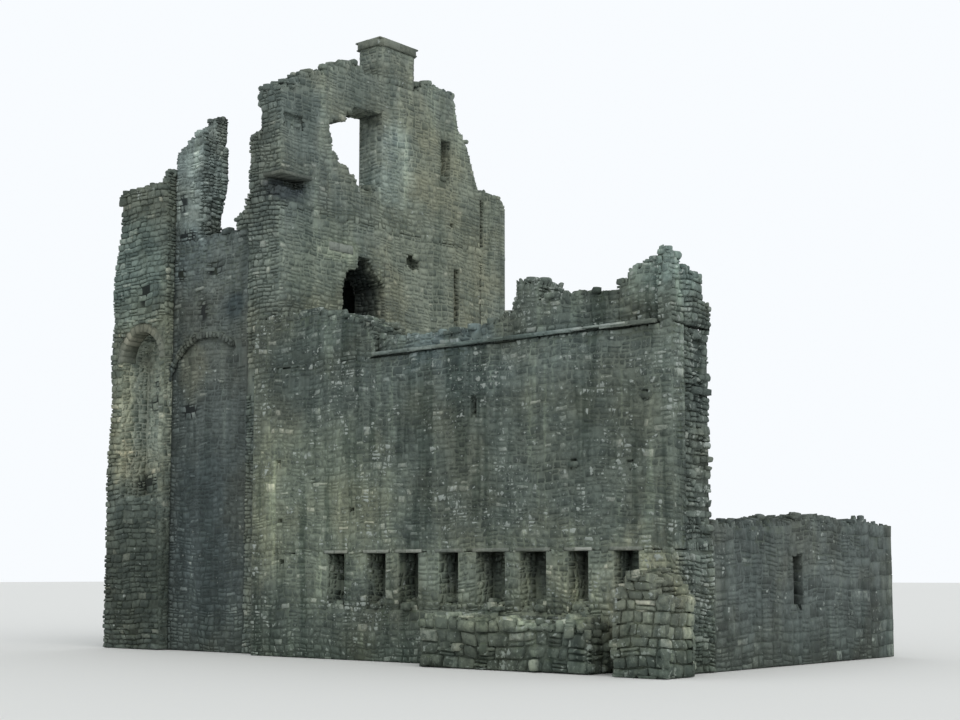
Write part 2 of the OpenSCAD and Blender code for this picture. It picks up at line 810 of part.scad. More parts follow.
// Ragged remains of the wall that returned to the west, from the gap up past the window stage's floor
module return_stub() {
    foot_share = (window_floor - gap_z) / return_high;
    outline = concat([[cross_west, gap_z], [cross_west, window_floor], [upper_west, window_floor],
        [upper_west, gap_z + return_high]],
        torn(cross_west, cross_west - return_out, gap_z, return_high, [
            [0, 0.99], [0, 0.72], [0.08, 0.62], [0, foot_share + 0.16], [0.42, foot_share + 0.02],
            [0.44, foot_share - 0.03], [1, 0.12], [0.8, 0.04], [0.8, 0]
        ]));
    color("darkkhaki") place() slab_xz(outline, cell_back, cell_thick);
}

// South wall of the west cell up to the gap
module cell_south_wall() {
    color("slategray") place() block([cell_west, cell_back, 0], [cross_west, cell_inner, gap_z]);
}

// Spike of wall left standing over the west cell: two leaves, the back one taller
module wall_spike() {
    foot_x = cell_west + spike_wide;
    front_leaf = concat([[cell_west, gap_z]], torn(cell_west, foot_x, gap_z, spike_high, [
        [0.86, 0], [0.86, 0.3], [0.9, 0.31], [0.93, 0.55], [0.98, 0.56], [1, 0.83], [0.92, 0.84],
        [0.9, 0.86], [0.7, 0.83], [0.36, 0.79], [0.34, 0.77], [0, 0.73]
    ]));
    back_leaf = concat([[cell_west, gap_z]], torn(cell_west, foot_x, gap_z, spike_high, [
        [0.77, 0], [0.78, 0.2], [0.88, 0.34], [1, 0.44], [1, 0.74], [0.88, 0.78], [0.96, 0.82],
        [0.94, 0.99], [0.9, 1], [0.6, 0.94], [0.34, 0.9], [0.3, 0.87], [0, 0.82]
    ]));
    color("slategray") place() {
        slab_xz(front_leaf, cell_back, leaf_thick);
        slab_xz(back_leaf, cell_back + leaf_thick, leaf_thick);
    }
}

// Band of stones left by the vanished vault against the cell's south face
module vault_scar() {
    centre_z = scar_crown - scar_radius;
    low = centre_z + 0.32 * scar_radius;
    color("slategray") place() intersection() {
        translate([cell_mid, cell_back, centre_z]) rotate([90, 0, 0]) difference() {
            cylinder(h = scar_out, r = scar_radius, $fn = 2 * arc_smooth);
            translate([0, 0, -cut])
                cylinder(h = scar_out + 2 * cut, r = scar_radius - scar_high, $fn = 2 * arc_smooth);
        }
        block([cell_west, cell_back - scar_out, low], [cross_west - scar_short, cell_back, scar_crown + cut]);
    }
}

// Half disc over the recess, from its springing up, by its radius and its reach along Y
module recess_disc(radius, y0, y1) {
    intersection() {
        translate([recess_mid, y1, recess_spring]) rotate([90, 0, 0])
            cylinder(h = y1 - y0, r = radius, $fn = 2 * arc_smooth);
        block([recess_mid - radius, y0, recess_spring], [recess_mid + radius, y1, recess_spring + radius]);
    }
}

// Space that the recess and its ring of arch stones take out of the wall
module recess_space() {
    block([recess_mid - recess_half, west_back - cut, recess_floor],
          [recess_mid + recess_half, west_back + recess_deep, recess_spring]);
    recess_disc(recess_half, west_back - cut, west_back + recess_deep);
    recess_disc(recess_half + arch_ring, west_back - cut, west_back + arch_deep);
}

// Torn south end of the west wall, with the mural recess
module west_end_lower() {
    outline = concat([[west_face, 0], [cell_west, 0], [cell_west, west_joint]],
        torn(cell_west, west_face, 0, west_joint, [[0.93, 1], [0.97, 0.89], [0.94, 0.73], [1, 0.58]]));
    color("tan") place() difference() {
        slab_xz(outline, west_back, cell_inner - west_back);
        recess_space();
    }
}

// Ring of arch stones over the mural recess
module mural_arch() {
    color("gainsboro") place() difference() {
        recess_disc(recess_half + arch_ring, west_back, west_back + arch_deep);
        translate([0, 0, -cut]) recess_disc(recess_half, west_back - cut, west_back + arch_deep + cut);
        recess_disc(recess_half, west_back - cut, west_back + arch_deep + cut);
    }
}

// Upper part of the west wall's torn end, stepping up to the spike
module west_end_upper() {
    outline = concat([[cell_west, west_joint]],
        torn(cell_west, west_face, west_joint, west_end_high - west_joint, [
            [0, 1], [0.08, 0.97], [0.1, 0.93], [0.2, 0.9], [0.44, 0.91], [0.5, 0.895], [0.8, 0.895],
            [0.9, 0.87], [0.83, 0.8], [0.83, 0.64], [0.87, 0.55], [0.93, 0.4], [0.96, 0.2], [0.93, 0]
        ]));
    color("tan") place() slab_xz(outline, west_back, cell_inner - west_back);
}

// West wall behind its torn end: a taller inner half, and an outer half that has come down further
module west_wall() {
    inner = torn_wall(cell_inner, north_face, 0, west_high, [
        [0, 0.95], [0.1, 0.96], [0.13, 0.99], [0.34, 1], [0.38, 1.01], [0.6, 0.99],
        [0.63, 0.97], [0.84, 0.98], [0.88, 1], [1, 1]
    ]);
    outer = torn_wall(cell_inner, north_face, 0, west_high - west_fall, [
        [0, 0.93], [0.08, 0.94], [0.12, 1], [0.28, 1.01], [0.32, 0.97], [0.5, 0.96],
        [0.54, 0.99], [0.7, 1], [0.74, 0.96], [0.9, 0.97], [0.93, 1.01], [1, 1.02]
    ]);
    color("gray") place() difference() {
        union() {
            slab_yz(inner, cell_west - west_thick / 2, west_thick / 2);
            slab_yz(outer, west_face, west_thick / 2);
        }
        splayed_loop_x(cell_loop_y, basement_loop_foot, west_face - cut, cell_west + cut);
        splayed_loop_x(chamber_loop_y, chamber_loop_z, west_face - cut, cell_west + cut);
        for (i = [0:len(west_putlog_y) - 1], j = [0:len(back_putlog_z) - 1])
            block([west_face - cut, west_putlog_y[i] - putlog_side / 2, back_putlog_z[j]],
                  [west_face + putlog_deep, west_putlog_y[i] + putlog_side / 2, back_putlog_z[j] + putlog_side]);
    }
}

// North wall of the west cell
module cell_north_wall() {
    outline = torn_wall(cell_west, cross_west, 0, cell_north_high, [
        [0, 1], [0.2, 0.99], [0.24, 0.95], [0.5, 0.94], [0.54, 0.9], [0.84, 0.89], [1, 0.88]
    ]);
    color("gray") place() difference() {
        slab_xz(outline, room_back, north_thick);
        splayed_loop_y(cell_mid, basement_loop_foot, north_face + cut, room_back - cut);
        splayed_loop_y(cell_mid, chamber_loop_z, north_face + cut, room_back - cut);
        for (s = [-1, 1], j = [0:len(back_putlog_z) - 1]) {
            x = cell_mid + s * cell_wide / 3;
            block([x - putlog_side / 2, north_face - putlog_deep, back_putlog_z[j]],
                  [x + putlog_side / 2, north_face + cut, back_putlog_z[j] + putlog_side]);
        }
    }
}

// Barrel vault profile across the cell, up to the floor that it carries
module vault_profile(top) {
    spring = top - vault_cover - cell_wide / 2;
    difference() {
        translate([cell_west, spring]) square([cell_wide, top - spring]);
        translate([cell_mid, spring]) circle(r = cell_wide / 2, $fn = 2 * arc_smooth);
    }
}

// Lower barrel vault, which carries the doorway's floor
module cell_vault() {
    color("slategray") place() translate([0, room_back, 0]) rotate([90, 0, 0])
        linear_extrude(room_back - cell_inner) vault_profile(door_floor);
}

// Broken upper vault, left over the north half of the cell
module upper_vault() {
    edge = cell_loop_y - cell_wide * 0.15;
    color("slategray") place() intersection() {
        translate([0, room_back, 0]) rotate([90, 0, 0]) linear_extrude(room_back - edge) vault_profile(window_floor);
        linear_extrude(window_floor) polygon(concat(
            [for (s = [[0, 0.3], [0.2, 0.2], [0.24, 0.33], [0.5, 0.23], [0.54, 0.07], [0.8, 0.12], [1, 0]])
                [cell_west + cell_wide * s[0], edge + cell_wide * s[1]]],
            [[cross_west, room_back], [cell_west, room_back]]));
    }
}

// Low footing along the front wall's foot
module front_footing() {
    outline = torn_wall(footing_x, footing_x + footing_long, 0, footing_high, [
        [0, 0.4], [0.02, 0.95], [0.16, 0.98], [0.18, 0.86], [0.42, 0.87],
        [0.45, 0.96], [0.7, 0.95], [0.73, 1], [0.92, 1], [1, 0.75]
    ]);
    color("gray") place() slab_xz(outline, -footing_out, footing_out);
}

// Torn stub of a vanished wall at the front wall's right corner
module corner_stub() {
    outline = torn_wall(stub_x, right_end, 0, stub_high, [
        [0, 0.73], [0.18, 0.76], [0.2, 0.93], [0.42, 0.97], [0.45, 1],
        [0.74, 0.97], [0.77, 0.85], [1, 0.78]
    ]);
    color("gray") place() slab_xz(outline, -stub_out, stub_out);
}

front_foot();
socket_course();
front_wall();
socket_lintels();
string_course();
parapet_west();
parapet_middle();
parapet_east();
corner_peak();
end_tusks();
east_wall();
north_wall_west();
north_wall_east();
north_door_head();
north_stub();
cross_foot_south();
cross_foot_north();
cross_door_head();
cross_wall_middle();
door_stage_south();
door_stage_north();
door_stage_head();
door_lintel();
window_stage_south();
window_stage_north();
window_stage_head();
window_breast();
fireplace_hood();
chimney_stack();
chimney_cap();
return_stub();
cell_south_wall();
wall_spike();
vault_scar();
west_end_lower();
west_end_upper();
mural_arch();
west_wall();
cell_north_wall();
cell_vault();
upper_vault();
front_footing();
corner_stub();
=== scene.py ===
"""Dresses the ruined keep: every wall gets its rubble stones, mortar, lichen and rain marks."""
import json
import math
from itertools import pairwise, product

import bpy
import numpy as np
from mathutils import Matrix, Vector
from mathutils.bvhtree import BVHTree


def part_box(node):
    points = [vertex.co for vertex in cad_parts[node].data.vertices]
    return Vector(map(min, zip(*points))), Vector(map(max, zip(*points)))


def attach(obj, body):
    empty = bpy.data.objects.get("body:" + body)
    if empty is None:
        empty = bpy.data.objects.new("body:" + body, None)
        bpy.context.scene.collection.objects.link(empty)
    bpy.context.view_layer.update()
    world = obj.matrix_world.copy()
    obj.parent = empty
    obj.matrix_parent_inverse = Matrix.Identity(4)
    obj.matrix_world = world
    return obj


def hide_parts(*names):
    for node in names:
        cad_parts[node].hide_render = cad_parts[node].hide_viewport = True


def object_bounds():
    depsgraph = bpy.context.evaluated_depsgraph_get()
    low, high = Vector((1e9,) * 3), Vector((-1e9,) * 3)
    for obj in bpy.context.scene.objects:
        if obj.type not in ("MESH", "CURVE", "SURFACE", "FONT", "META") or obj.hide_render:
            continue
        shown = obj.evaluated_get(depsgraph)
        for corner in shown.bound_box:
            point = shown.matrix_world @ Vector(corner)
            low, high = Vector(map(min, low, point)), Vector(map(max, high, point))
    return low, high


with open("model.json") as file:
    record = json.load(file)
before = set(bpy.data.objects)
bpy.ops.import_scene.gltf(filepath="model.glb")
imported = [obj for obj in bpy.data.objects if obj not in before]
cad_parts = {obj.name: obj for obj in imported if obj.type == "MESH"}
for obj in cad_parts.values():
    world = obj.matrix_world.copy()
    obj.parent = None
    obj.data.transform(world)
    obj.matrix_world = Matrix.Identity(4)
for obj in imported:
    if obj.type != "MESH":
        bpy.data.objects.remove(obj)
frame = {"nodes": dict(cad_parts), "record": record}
cad_low, cad_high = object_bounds()
BOX_LOW, BOX_HIGH = np.array(cad_low), np.array(cad_high)

# Camera, at the photograph's own viewpoint and along its own axis, with a longer lens
EYE = (26.84, -31.42, 2.03)
LENS = 60.0
YAW = math.radians(40.0)
PITCH = math.radians(5.9)
SHIFT_UP = 0.05

# Planes that the finishes are told by
RIGHT_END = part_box("front_wall")[1][0]
WEST_END_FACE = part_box("west_end_lower")[0][1]
# How deep the torn right end is, and the flush part of it
TORN_DEPTH, FLUSH_DEPTH = 0.2, 0.05
# Where the recess's right jamb begins, and how deep its back lies at least
RECESS_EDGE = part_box("mural_arch")[1][0] - 0.24
RECESS_DEPTH = 0.5
# Upright part of a normal that looks up, that looks down, and of a level plane
LOOKS_UP, LOOKS_DOWN, LEVEL = 0.62, -0.75, 0.95

# How deep the mortar bed lies behind each kind of face
BED = {
    "face": 0.014, "end": 0.03, "torn": 0.04, "core": 0.035, "top": 0.05, "neat": 0.012, "soffit": 0.03,
    "boulder": 0.05, "stub": 0.11, "ledge": 0.05, "scar": 0.06,
}
# How far a stone's face lies behind the wall plane, nearest and furthest
RELIEF = {
    "face": (0.0, 0.009), "end": (-0.09, 0.012), "torn": (-0.05, 0.022), "core": (-0.05, 0.028),
    "top": (-0.12, 0.02), "neat": (0.0, 0.004), "soffit": (0.0, 0.02), "rough": (-0.08, 0.01),
    "boulder": (-0.07, 0.04), "stub": (0.0, 0.05), "ledge": (0.0, 0.045), "scar": (0.0, 0.045),
}
# Shares of the relief drawn by each corner and by the whole stone
CORNER_SHARE, STONE_SHARE = 0.3, 0.7
# Height of a band and length of a stone in each walling, lowest and highest
WALLING = {
    "front": ((0.12, 0.25), (0.10, 0.36)),
    "tower": ((0.12, 0.25), (0.11, 0.36)),
    "core": ((0.09, 0.22), (0.15, 0.45)),
    "boulder": ((0.18, 0.36), (0.20, 0.55)),
    "outer": ((0.18, 0.36), (0.18, 0.55)),
    "inner": ((0.26, 0.42), (0.25, 0.65)),
    "dressed": ((0.24, 0.34), (0.45, 0.85)),
}
# Broken faces have lower and shorter stones, by these shares
BROKEN_HEIGHT, BROKEN_LENGTH = 0.85, 0.9
# How far the edges are rounded off, and how far the middle swells
ROUNDING = {
    "neat": 0.008, "ledge": 0.006, "face": 0.011, "core": 0.016, "scar": 0.018, "stub": 0.02,
    "boulder": 0.024,
}
SWELL = {"boulder": 0.03, "stub": 0.02, "end": 0.01, "torn": 0.01, "core": 0.008}
PLAIN_ROUNDING, PLAIN_SWELL = 0.02, 0.003
# Random shares of the rounding at corners and along edges, and of the swell
KNOCKED, BEVELLED, SWOLLEN = (0.3, 1.7), (0.8, 1.8), (0.5, 1.5)
# Joint round a stone, how far its outline wanders, its shoulder, and its root behind the bed
JOINT, WANDER, SHOULDER, ROOT = 0.004, 0.012, 0.005, 0.03
# How far bands sway up and down, and how far a stone's ends lean
SWAY, LEAN = 0.036, 0.022
# Full and half turns that random angles are drawn from
TURN, HALF_TURN = 6.28, 3.14
# Share of the stones that are lost from a face
LOST_STONES = {"face": 0.02, "ledge": 0.14, "core": 0.03, "scar": 0.2}
# Share of boulders and of core stones that fill the whole height of their band
WHOLE_SHARE = 0.75
# Cells from the first height up may hold two stones, and from the second up three
TWO_FROM, THREE_FROM = 0.13, 0.24
# Loose blocks: share of the stones that carry one, and its least and most half size
LOOSE = {
    "top": (0.16, (0.08, 0.06, 0.04), (0.19, 0.13, 0.09)),
    **dict.fromkeys(("boulder", "stub"), (0.22, (0.09, 0.07, 0.06), (0.20, 0.13, 0.13))),
}
# How near another node touches, and the step between the places tried
CONTACT, PROBE = 0.004, 0.09
# How far stones run on under what covers the wall beside them
UNDERLAP = 0.04
# Shortest run and lowest stone that are laid
SHORTEST, LOWEST = 0.03, 0.025
# Levels of detail: fine stones have a rounded shoulder, coarse ones four corners instead of eight
FINE, MIDDLE, COARSE = "fine", "middle", "coarse"
ARCH_SEED, TUSK_SEED, JUTTING_SEED, CAPPING_SEED, BLOCK_SEED = 12, 71, 72, 73, 1000

FRONT_LIFTS = "front_foot socket_course front_wall".split()
FRONT_NODES = FRONT_LIFTS + "parapet_west parapet_middle parapet_east corner_peak".split()
CORE_NODES = "west_end_lower west_end_upper".split()
BOULDER_NODES = "front_footing corner_stub".split()
DRESSED_NODES = "socket_lintels string_course door_lintel fireplace_hood chimney_cap mural_arch".split()
# How the names of the cross wall's and the cell's nodes begin
TOWER_NODES = ("cross_", "door_", "window_", "chimney", "north_stub", "return", "cell_south", "wall_spike")
OUTER_NODES = "west_wall cell_north_wall east_wall north_wall_west north_wall_east north_door_head".split()
BARE_NODES = "end_tusks mural_arch vault_scar".split()
# Nodes that are torn on each side
TORN_HEADS = "parapet_west parapet_middle parapet_east corner_peak wall_spike cell_south_wall west_end_upper"
TORN_STAGES = "door_stage_south door_stage_head window_stage_south window_breast window_stage_head"
TORN_SIDES = {
    "-x": TORN_HEADS + " return_stub west_end_lower",
    "+x": TORN_HEADS,
    "-y": TORN_STAGES + " return_stub cross_foot_south cross_wall_middle",
    "+y": TORN_STAGES + " window_stage_north",
}
# Small holes in the walling, whose bare bed gets painted shade: middle, half width and half height
PITS = {
    "dark_rubble": [
        ((-6.93, -3.79, 12.08), 0.1, 0.15), ((-6.72, -3.79, 11.14), 0.2, 0.1),
        ((-6.92, -3.79, 10.09), 0.09, 0.1), ((-5.56, -3.79, 10.12), 0.17, 0.13),
        ((-6.01, -3.79, 9.01), 0.11, 0.16), ((-6.49, -3.79, 6.35), 0.18, 0.11),
    ],
    "core_rubble": [
        ((-8.18, -4.06, 9.75), 0.13, 0.22), ((-8.55, -3.16, 7.35), 0.13, 0.1),
        ((-8.55, -3.16, 6.75), 0.22, 0.13), ((-8.3, -3.16, 6.35), 0.1, 0.09),
        ((-8.9, -3.16, 4.55), 0.22, 0.14),
    ],
}
# Share of a pit that has no stones, its depth, and the spread of the painted shade on its bed
PIT_CORE, PIT_DEPTH, PIT_SHADE_SPREAD = 0.55, 0.1, 2.2
# Pale flat stones that stand out of a face: the face's depth, and middles across and up
JUTTING = {
    "wall_spike": (-3.79, [
        (-6.36, 13.32), (-6.38, 13.06), (-6.61, 12.79), (-6.4, 12.57), (-6.31, 12.31), (-6.92, 12.36),
        (-6.22, 11.51), (-6.75, 11.75),
    ]),
    "cell_south_wall": (-3.79, [(-5.97, 10.68), (-5.76, 10.1), (-6.15, 9.62), (-5.2, 7.05), (-6.3, 4.6)]),
    "west_end_upper": (-4.06, [(-8.95, 11.0), (-8.6, 10.72), (-9.05, 10.35), (-8.35, 10.3)]),
    "front_wall": (-4.32, [
        (1.62, 4.07), (2.65, 6.04), (2.25, 6.12), (2.43, 5.45), (3.51, 5.25), (3.91, 4.28), (3.63, 3.91),
        (5.28, 3.89), (6.42, 3.9), (7.75, 4.35), (9.02, 5.37), (7.15, 2.95), (7.51, 2.99), (7.86, 2.94),
        (8.89, 6.51), (8.9, 4.97), (-1.08, 4.16), (-0.6, 4.82), (1.18, 5.94), (1.69, 6.6),
    ]),
    "corner_stub": (-5.36, [(8.63, 1.8), (9.3, 1.86), (9.05, 1.3), (8.55, 0.7), (9.2, 0.55), (8.8, 1.05)]),
    "west_end_lower": (-4.06, [
        (-9.05, 9.28), (-8.68, 9.24), (-8.3, 9.26), (-9.2, 8.93), (-8.75, 8.98), (-8.25, 8.99),
        (-7.8, 8.9),
    ]),
}
# Places where the stones stand out of the wall in ragged layers: middle and reach
ROUGH_PLACES = [
    ((-3.9, -3.8, 11.5), (0.95, 0.3, 0.8)),
    ((-3.4, -3.6, 15.1), (0.9, 0.6, 0.5)),
    ((-6.1, -3.8, 12.8), (0.45, 0.5, 1.6)),
]


# Kinds of face

def heading(normal):
    """Which way a face looks: up, down, or the axis nearest to it."""
    if normal[2] > LOOKS_UP:
        return "up"
    if normal[2] < LOOKS_DOWN:
        return "down"
    if abs(normal[0]) > abs(normal[1]):
        return "+x" if normal[0] > 0 else "-x"
    return "+y" if normal[1] > 0 else "-y"


def kind_of(node, normal, spot):
    """Which finish a face of a node gets. The spot is a point of that face."""
    way = heading(normal)
    if node == "vault_scar":
        return "scar"
    if node in DRESSED_NODES:
        return "ledge" if node == "string_course" and way != "up" else "neat"
    if way == "up":
        return "top"
    if way == "down":
        return "soffit"
    if node in FRONT_LIFTS:
        if way != "+x" or spot[0] < RIGHT_END - TORN_DEPTH:
            return "face"
        if node == "front_wall":
            return "end" if spot[0] < RIGHT_END - FLUSH_DEPTH else "face"
        return "torn"
    if node in BOULDER_NODES:
        return "stub" if node == "corner_stub" else "boulder"
    if node in CORE_NODES and way == "-y":
        in_recess = spot[1] > WEST_END_FACE + RECESS_DEPTH
        smooth = in_recess or (node == "west_end_lower" and spot[0] > RECESS_EDGE)
        return "face" if smooth else "core"
    return "torn" if node in TORN_SIDES[way].split() else "face"


def walling_of(node, side, kind):
    """Which walling a face is laid in."""
    if node in DRESSED_NODES:
        return "dressed"
    if side != "seen":
        return side
    if node in BOULDER_NODES:
        return "boulder"
    if kind == "core":
        return "core"
    if node in FRONT_NODES + CORE_NODES:
        return "front"
    return "tower" if node.startswith(TOWER_NODES) else "outer"


def side_of(node, normal):
    """Whether a face is seen on the photograph's side, on another side, or only from within."""
    way = heading(normal)
    if node in OUTER_NODES:
        outside = {"west_wall": "-x", "east_wall": "+x"}.get(node, "+y")
        return "outer" if way in (outside, "up") else "inner"
    if node in ("cell_vault", "upper_vault"):
        return "outer" if way == "up" else "inner"
    if node == "cell_south_wall" and way == "+y":
        return "inner"
    return "seen" if way in ("-y", "+x", "up") else "outer"


def detail_of(side, kind):
    """How finely a stone is cut: finest where it stands out on the photograph's side, coarsest indoors."""
    if side == "inner":
        return COARSE
    return FINE if side == "seen" and kind != "face" else MIDDLE


# Reading the frame

def read_mesh(node):
    """A node's points, and the indices of its triangles."""
    mesh = frame["nodes"][node].data
    mesh.calc_loop_triangles()
    points = np.array([v.co[:] for v in mesh.vertices])
    return points, np.array([t.vertices[:] for t in mesh.loop_triangles])


def read_planes():
    """Every node's triangles, grouped by their plane and finish."""
    planes = {}
    for node in sorted(frame["nodes"]):
        if node in BARE_NODES:
            continue
        points, faces = read_mesh(node)
        corners = points[faces]
        cross = np.cross(corners[:, 1] - corners[:, 0], corners[:, 2] - corners[:, 0])
        size = np.linalg.norm(cross, axis=1)
        for tri, c, s in zip(corners, cross, size):
            if s < 1e-7:
                continue
            n = c / s
            side, kind = side_of(node, n), kind_of(node, n, tri.mean(0))
            finish = (walling_of(node, side, kind), kind, detail_of(side, kind))
            # The small odd amounts keep round sizes off the edge between two roundings
            key = (*np.round(n + 0.00013, 2), round(float(n @ tri[0]) + 0.00037, 3), *finish)
            planes.setdefault(key, []).append((node, tri, n))
    return planes


class Neighbours:
    """Tells where one node's surface is covered by another node."""

    def __init__(self):
        points, faces, self.owner = [], [], []
        for node in sorted(frame["nodes"]):
            own_points, own_faces = read_mesh(node)
            faces += (own_faces + len(points)).tolist()
            points += own_points.tolist()
            self.owner += [node] * len(own_faces)
        self.tree = BVHTree.FromPolygons(points, faces)

    def cover(self, node, point, normal):
        """True where another node lies against this face at this point."""
        touching = self.tree.find_nearest_range(Vector(point), CONTACT)
        return any(self.owner[i] != node and facing.dot(normal) < -0.9 for _, facing, i, _ in touching)


# Laying stones

def spans_across(tris, level, axis):
    """Stretches where a line at one level of an axis crosses the triangles, with their indices."""
    low = tris[:, :, axis].min(1)
    high = tris[:, :, axis].max(1)
    found = []
    for i in np.nonzero((low < level) & (high > level))[0]:
        t = tris[i]
        cuts = []
        for a, b in ((0, 1), (1, 2), (2, 0)):
            da, db = t[a, axis] - level, t[b, axis] - level
            if da * db < 0:
                share = da / (da - db)
                cuts.append(t[a, 1 - axis] + share * (t[b, 1 - axis] - t[a, 1 - axis]))
        if len(cuts) == 2:
            found.append((min(cuts), max(cuts), i))
    merged = []
    for a, b, i in sorted(found):
        if merged and a <= merged[-1][1] + 0.003:
            merged[-1][1] = max(merged[-1][1], b)
            merged[-1][2].append((a, b, i))
        else:
            merged.append([a, b, [(a, b, i)]])
    return merged


def split_evenly(rng, start, end, low, high):
    """Marks from start to end, at uneven steps between low and high."""
    if end - start < low * 1.5:
        return np.array([start, end])
    steps = []
    while sum(steps) < end - start:
        steps.append(rng.uniform(low, high))
    marks = np.concatenate([[0], np.cumsum(steps)])
    return start + marks / marks[-1] * (end - start)


def share_out(rng, foot, head, whole):
    """Splits a cell of a band into one, two or three stones, one above the other."""
    high = head - foot
    if whole or high < TWO_FROM:
        return [(foot, head)]
    pick = rng.uniform()
    if high > THREE_FROM and pick < 0.3:
        a = foot + high * rng.uniform(0.25, 0.4)
        b = foot + high * rng.uniform(0.58, 0.74)
        return [(foot, a), (a, b), (b, head)]
    if pick < (0.72 if high > 0.2 else 0.4):
        cut = foot + high * rng.uniform(0.35, 0.65)
        return [(foot, cut), (cut, head)]
    return [(foot, head)]


def is_rough(spot):
    return any(sum(((s - m) / r) ** 2 for s, m, r in zip(spot, middle, reach)) < 1
               for middle, reach in ROUGH_PLACES)


def in_pit(spot, half_long, half_high):
    """True for a stone that lies over a pit's middle, or has its own middle within the pit."""
    return any(abs(spot[0] - at[0]) < max(wide * PIT_CORE, half_long) and abs(spot[1] - at[1]) < PIT_DEPTH
               and abs(spot[2] - at[2]) < max(high * PIT_CORE, half_high)
               for pits in PITS.values() for at, wide, high in pits)


class Heap:
    """The stones laid so far, for each node and level of detail, and each node's loose blocks."""

    def __init__(self):
        self.rows = {}
        self.blocks = {}

    def lay(self, node, detail, corners, normal, depth, kind, tint):
        """Adds a stone. One that would stand out of the whole object's box is set back."""
        swell = SWELL.get(kind, PLAIN_SWELL)
        proud = swell * SWOLLEN[1] - depth.min()
        depth = depth + max(0.0, proud - self.room_before(corners, normal))
        form = (BED[kind], ROUNDING.get(kind, PLAIN_ROUNDING), swell)
        self.rows.setdefault((node, detail), []).append((corners, normal, depth, tint, *form))

    def room_before(self, corners, normal):
        """How far a plane may come forward before it leaves the whole object's box."""
        gap = np.where(normal > 0, BOX_HIGH - corners.max(0), corners.min(0) - BOX_LOW)
        share = np.abs(normal)
        return (gap[share > 0.3] / share[share > 0.3]).min()

    def drop(self, node, middle, half, turn, tint):
        """Adds a loose block, kept with its dents and tilt in the whole object's box."""
        wide = math.hypot(half[0], half[1]) * 1.1
        reach = np.array([wide, wide, half[2] * 1.3])
        middle = np.clip(np.array(middle), BOX_LOW + reach, BOX_HIGH - reach)
        self.blocks.setdefault(node, []).append((middle, half, turn, tint))


class Arch:
    """A ring of wedge stones round an opening or a vault's edge."""

    def __init__(self, node, along, middle, radii, sweep, faces, count, tone=(0.3, 1.0), kind="neat"):
        self.node, self.along, self.middle, self.radii = node, along, middle, radii
        self.sweep, self.faces, self.count, self.tone, self.kind = sweep, faces, count, tone, kind

    def point(self, radius, angle, depth):
        across = self.middle[0] + radius * math.cos(angle)
        height = self.middle[1] + radius * math.sin(angle)
        return (across, depth, height) if self.along == "y" else (depth, across, height)

    def holds(self, spot, normal):
        """True where a point of a wall's face lies within the ring."""
        axis = 1 if self.along == "y" else 0
        if abs(normal[axis]) < 0.9 or min(abs(spot[axis] - f) for f in self.faces) > 0.05:
            return False
        across, height = spot[1 - axis] - self.middle[0], spot[2] - self.middle[1]
        inner, outer = self.radii
        return height > -0.02 and inner - 0.03 < math.hypot(across, height) < outer + 0.03


ARCHES = [
    Arch("mural_arch", "y", (-8.28, 7.85), (0.78, 1.02), (180, 0), (-4.06, -3.61), 15, (0.45, 1.0)),
    Arch("cross_door_head", "x", (1.63, 1.6), (0.55, 0.82), (180, 0), (-3.07, -4.26), 11),
    Arch("north_door_head", "y", (2.87, 1.7), (0.65, 0.93), (180, 0), (4.22, 5.42), 11),
    Arch("vault_scar", "y", (-5.755, 6.68), (1.56, 1.80), (161.3, 53.3), (-3.91, -3.79), 23,
         (0.0, 0.75), "scar"),
]


def lay_arch(heap, arch, rng):
    """Cuts one arch into wedge stones: its faces, its soffit and, where it stands alone, its back."""
    start, end = (math.radians(a) for a in arch.sweep)
    marks = start + (end - start) * np.linspace(0, 1, arch.count + 1)
    inner, outer = arch.radii
    front, back = min(arch.faces), max(arch.faces)
    for a, b in pairwise(marks):
        tint = rng.uniform(*arch.tone)
        if arch.kind == "scar" and rng.uniform() < LOST_STONES["scar"]:
            continue
        length = outer + rng.uniform(-0.08, 0.0)
        for depth, out in ((front, -1), (back, 1)):
            places = ((inner, a), (inner, b), (length, b), (length, a))
            normal = np.array([0.0, out, 0.0] if arch.along == "y" else [out, 0.0, 0.0])
            lay_quad(heap, arch, [arch.point(r, t, depth) for r, t in places], normal, rng, tint)
        outward = np.array(Vector(arch.point(1, (a + b) / 2, 0)) - Vector(arch.point(0, 0, 0)))
        rings = [(inner, -1), (length, 1)] if arch.node in BARE_NODES else [(inner, -1)]
        for radius, out in rings:
            places = ((a, front), (b, front), (b, back), (a, back))
            lay_quad(heap, arch, [arch.point(radius, t, d) for t, d in places], outward * out, rng, tint)


def lay_quad(heap, arch, corners, normal, rng, tint):
    """Lays one face of a wedge stone, with its corners turned the right way round."""
    corners = np.array(corners)
    facing = np.cross(corners[1] - corners[0], corners[3] - corners[0])
    if facing @ normal < 0:
        corners = corners[::-1]
    normal = normal / np.linalg.norm(normal)
    depth = rng.uniform(0, 0.008, 4)
    if arch.kind == "scar":
        depth = depth + rng.uniform(*RELIEF["scar"])
    heap.lay(arch.node, FINE, corners, normal, depth, arch.kind, tint)


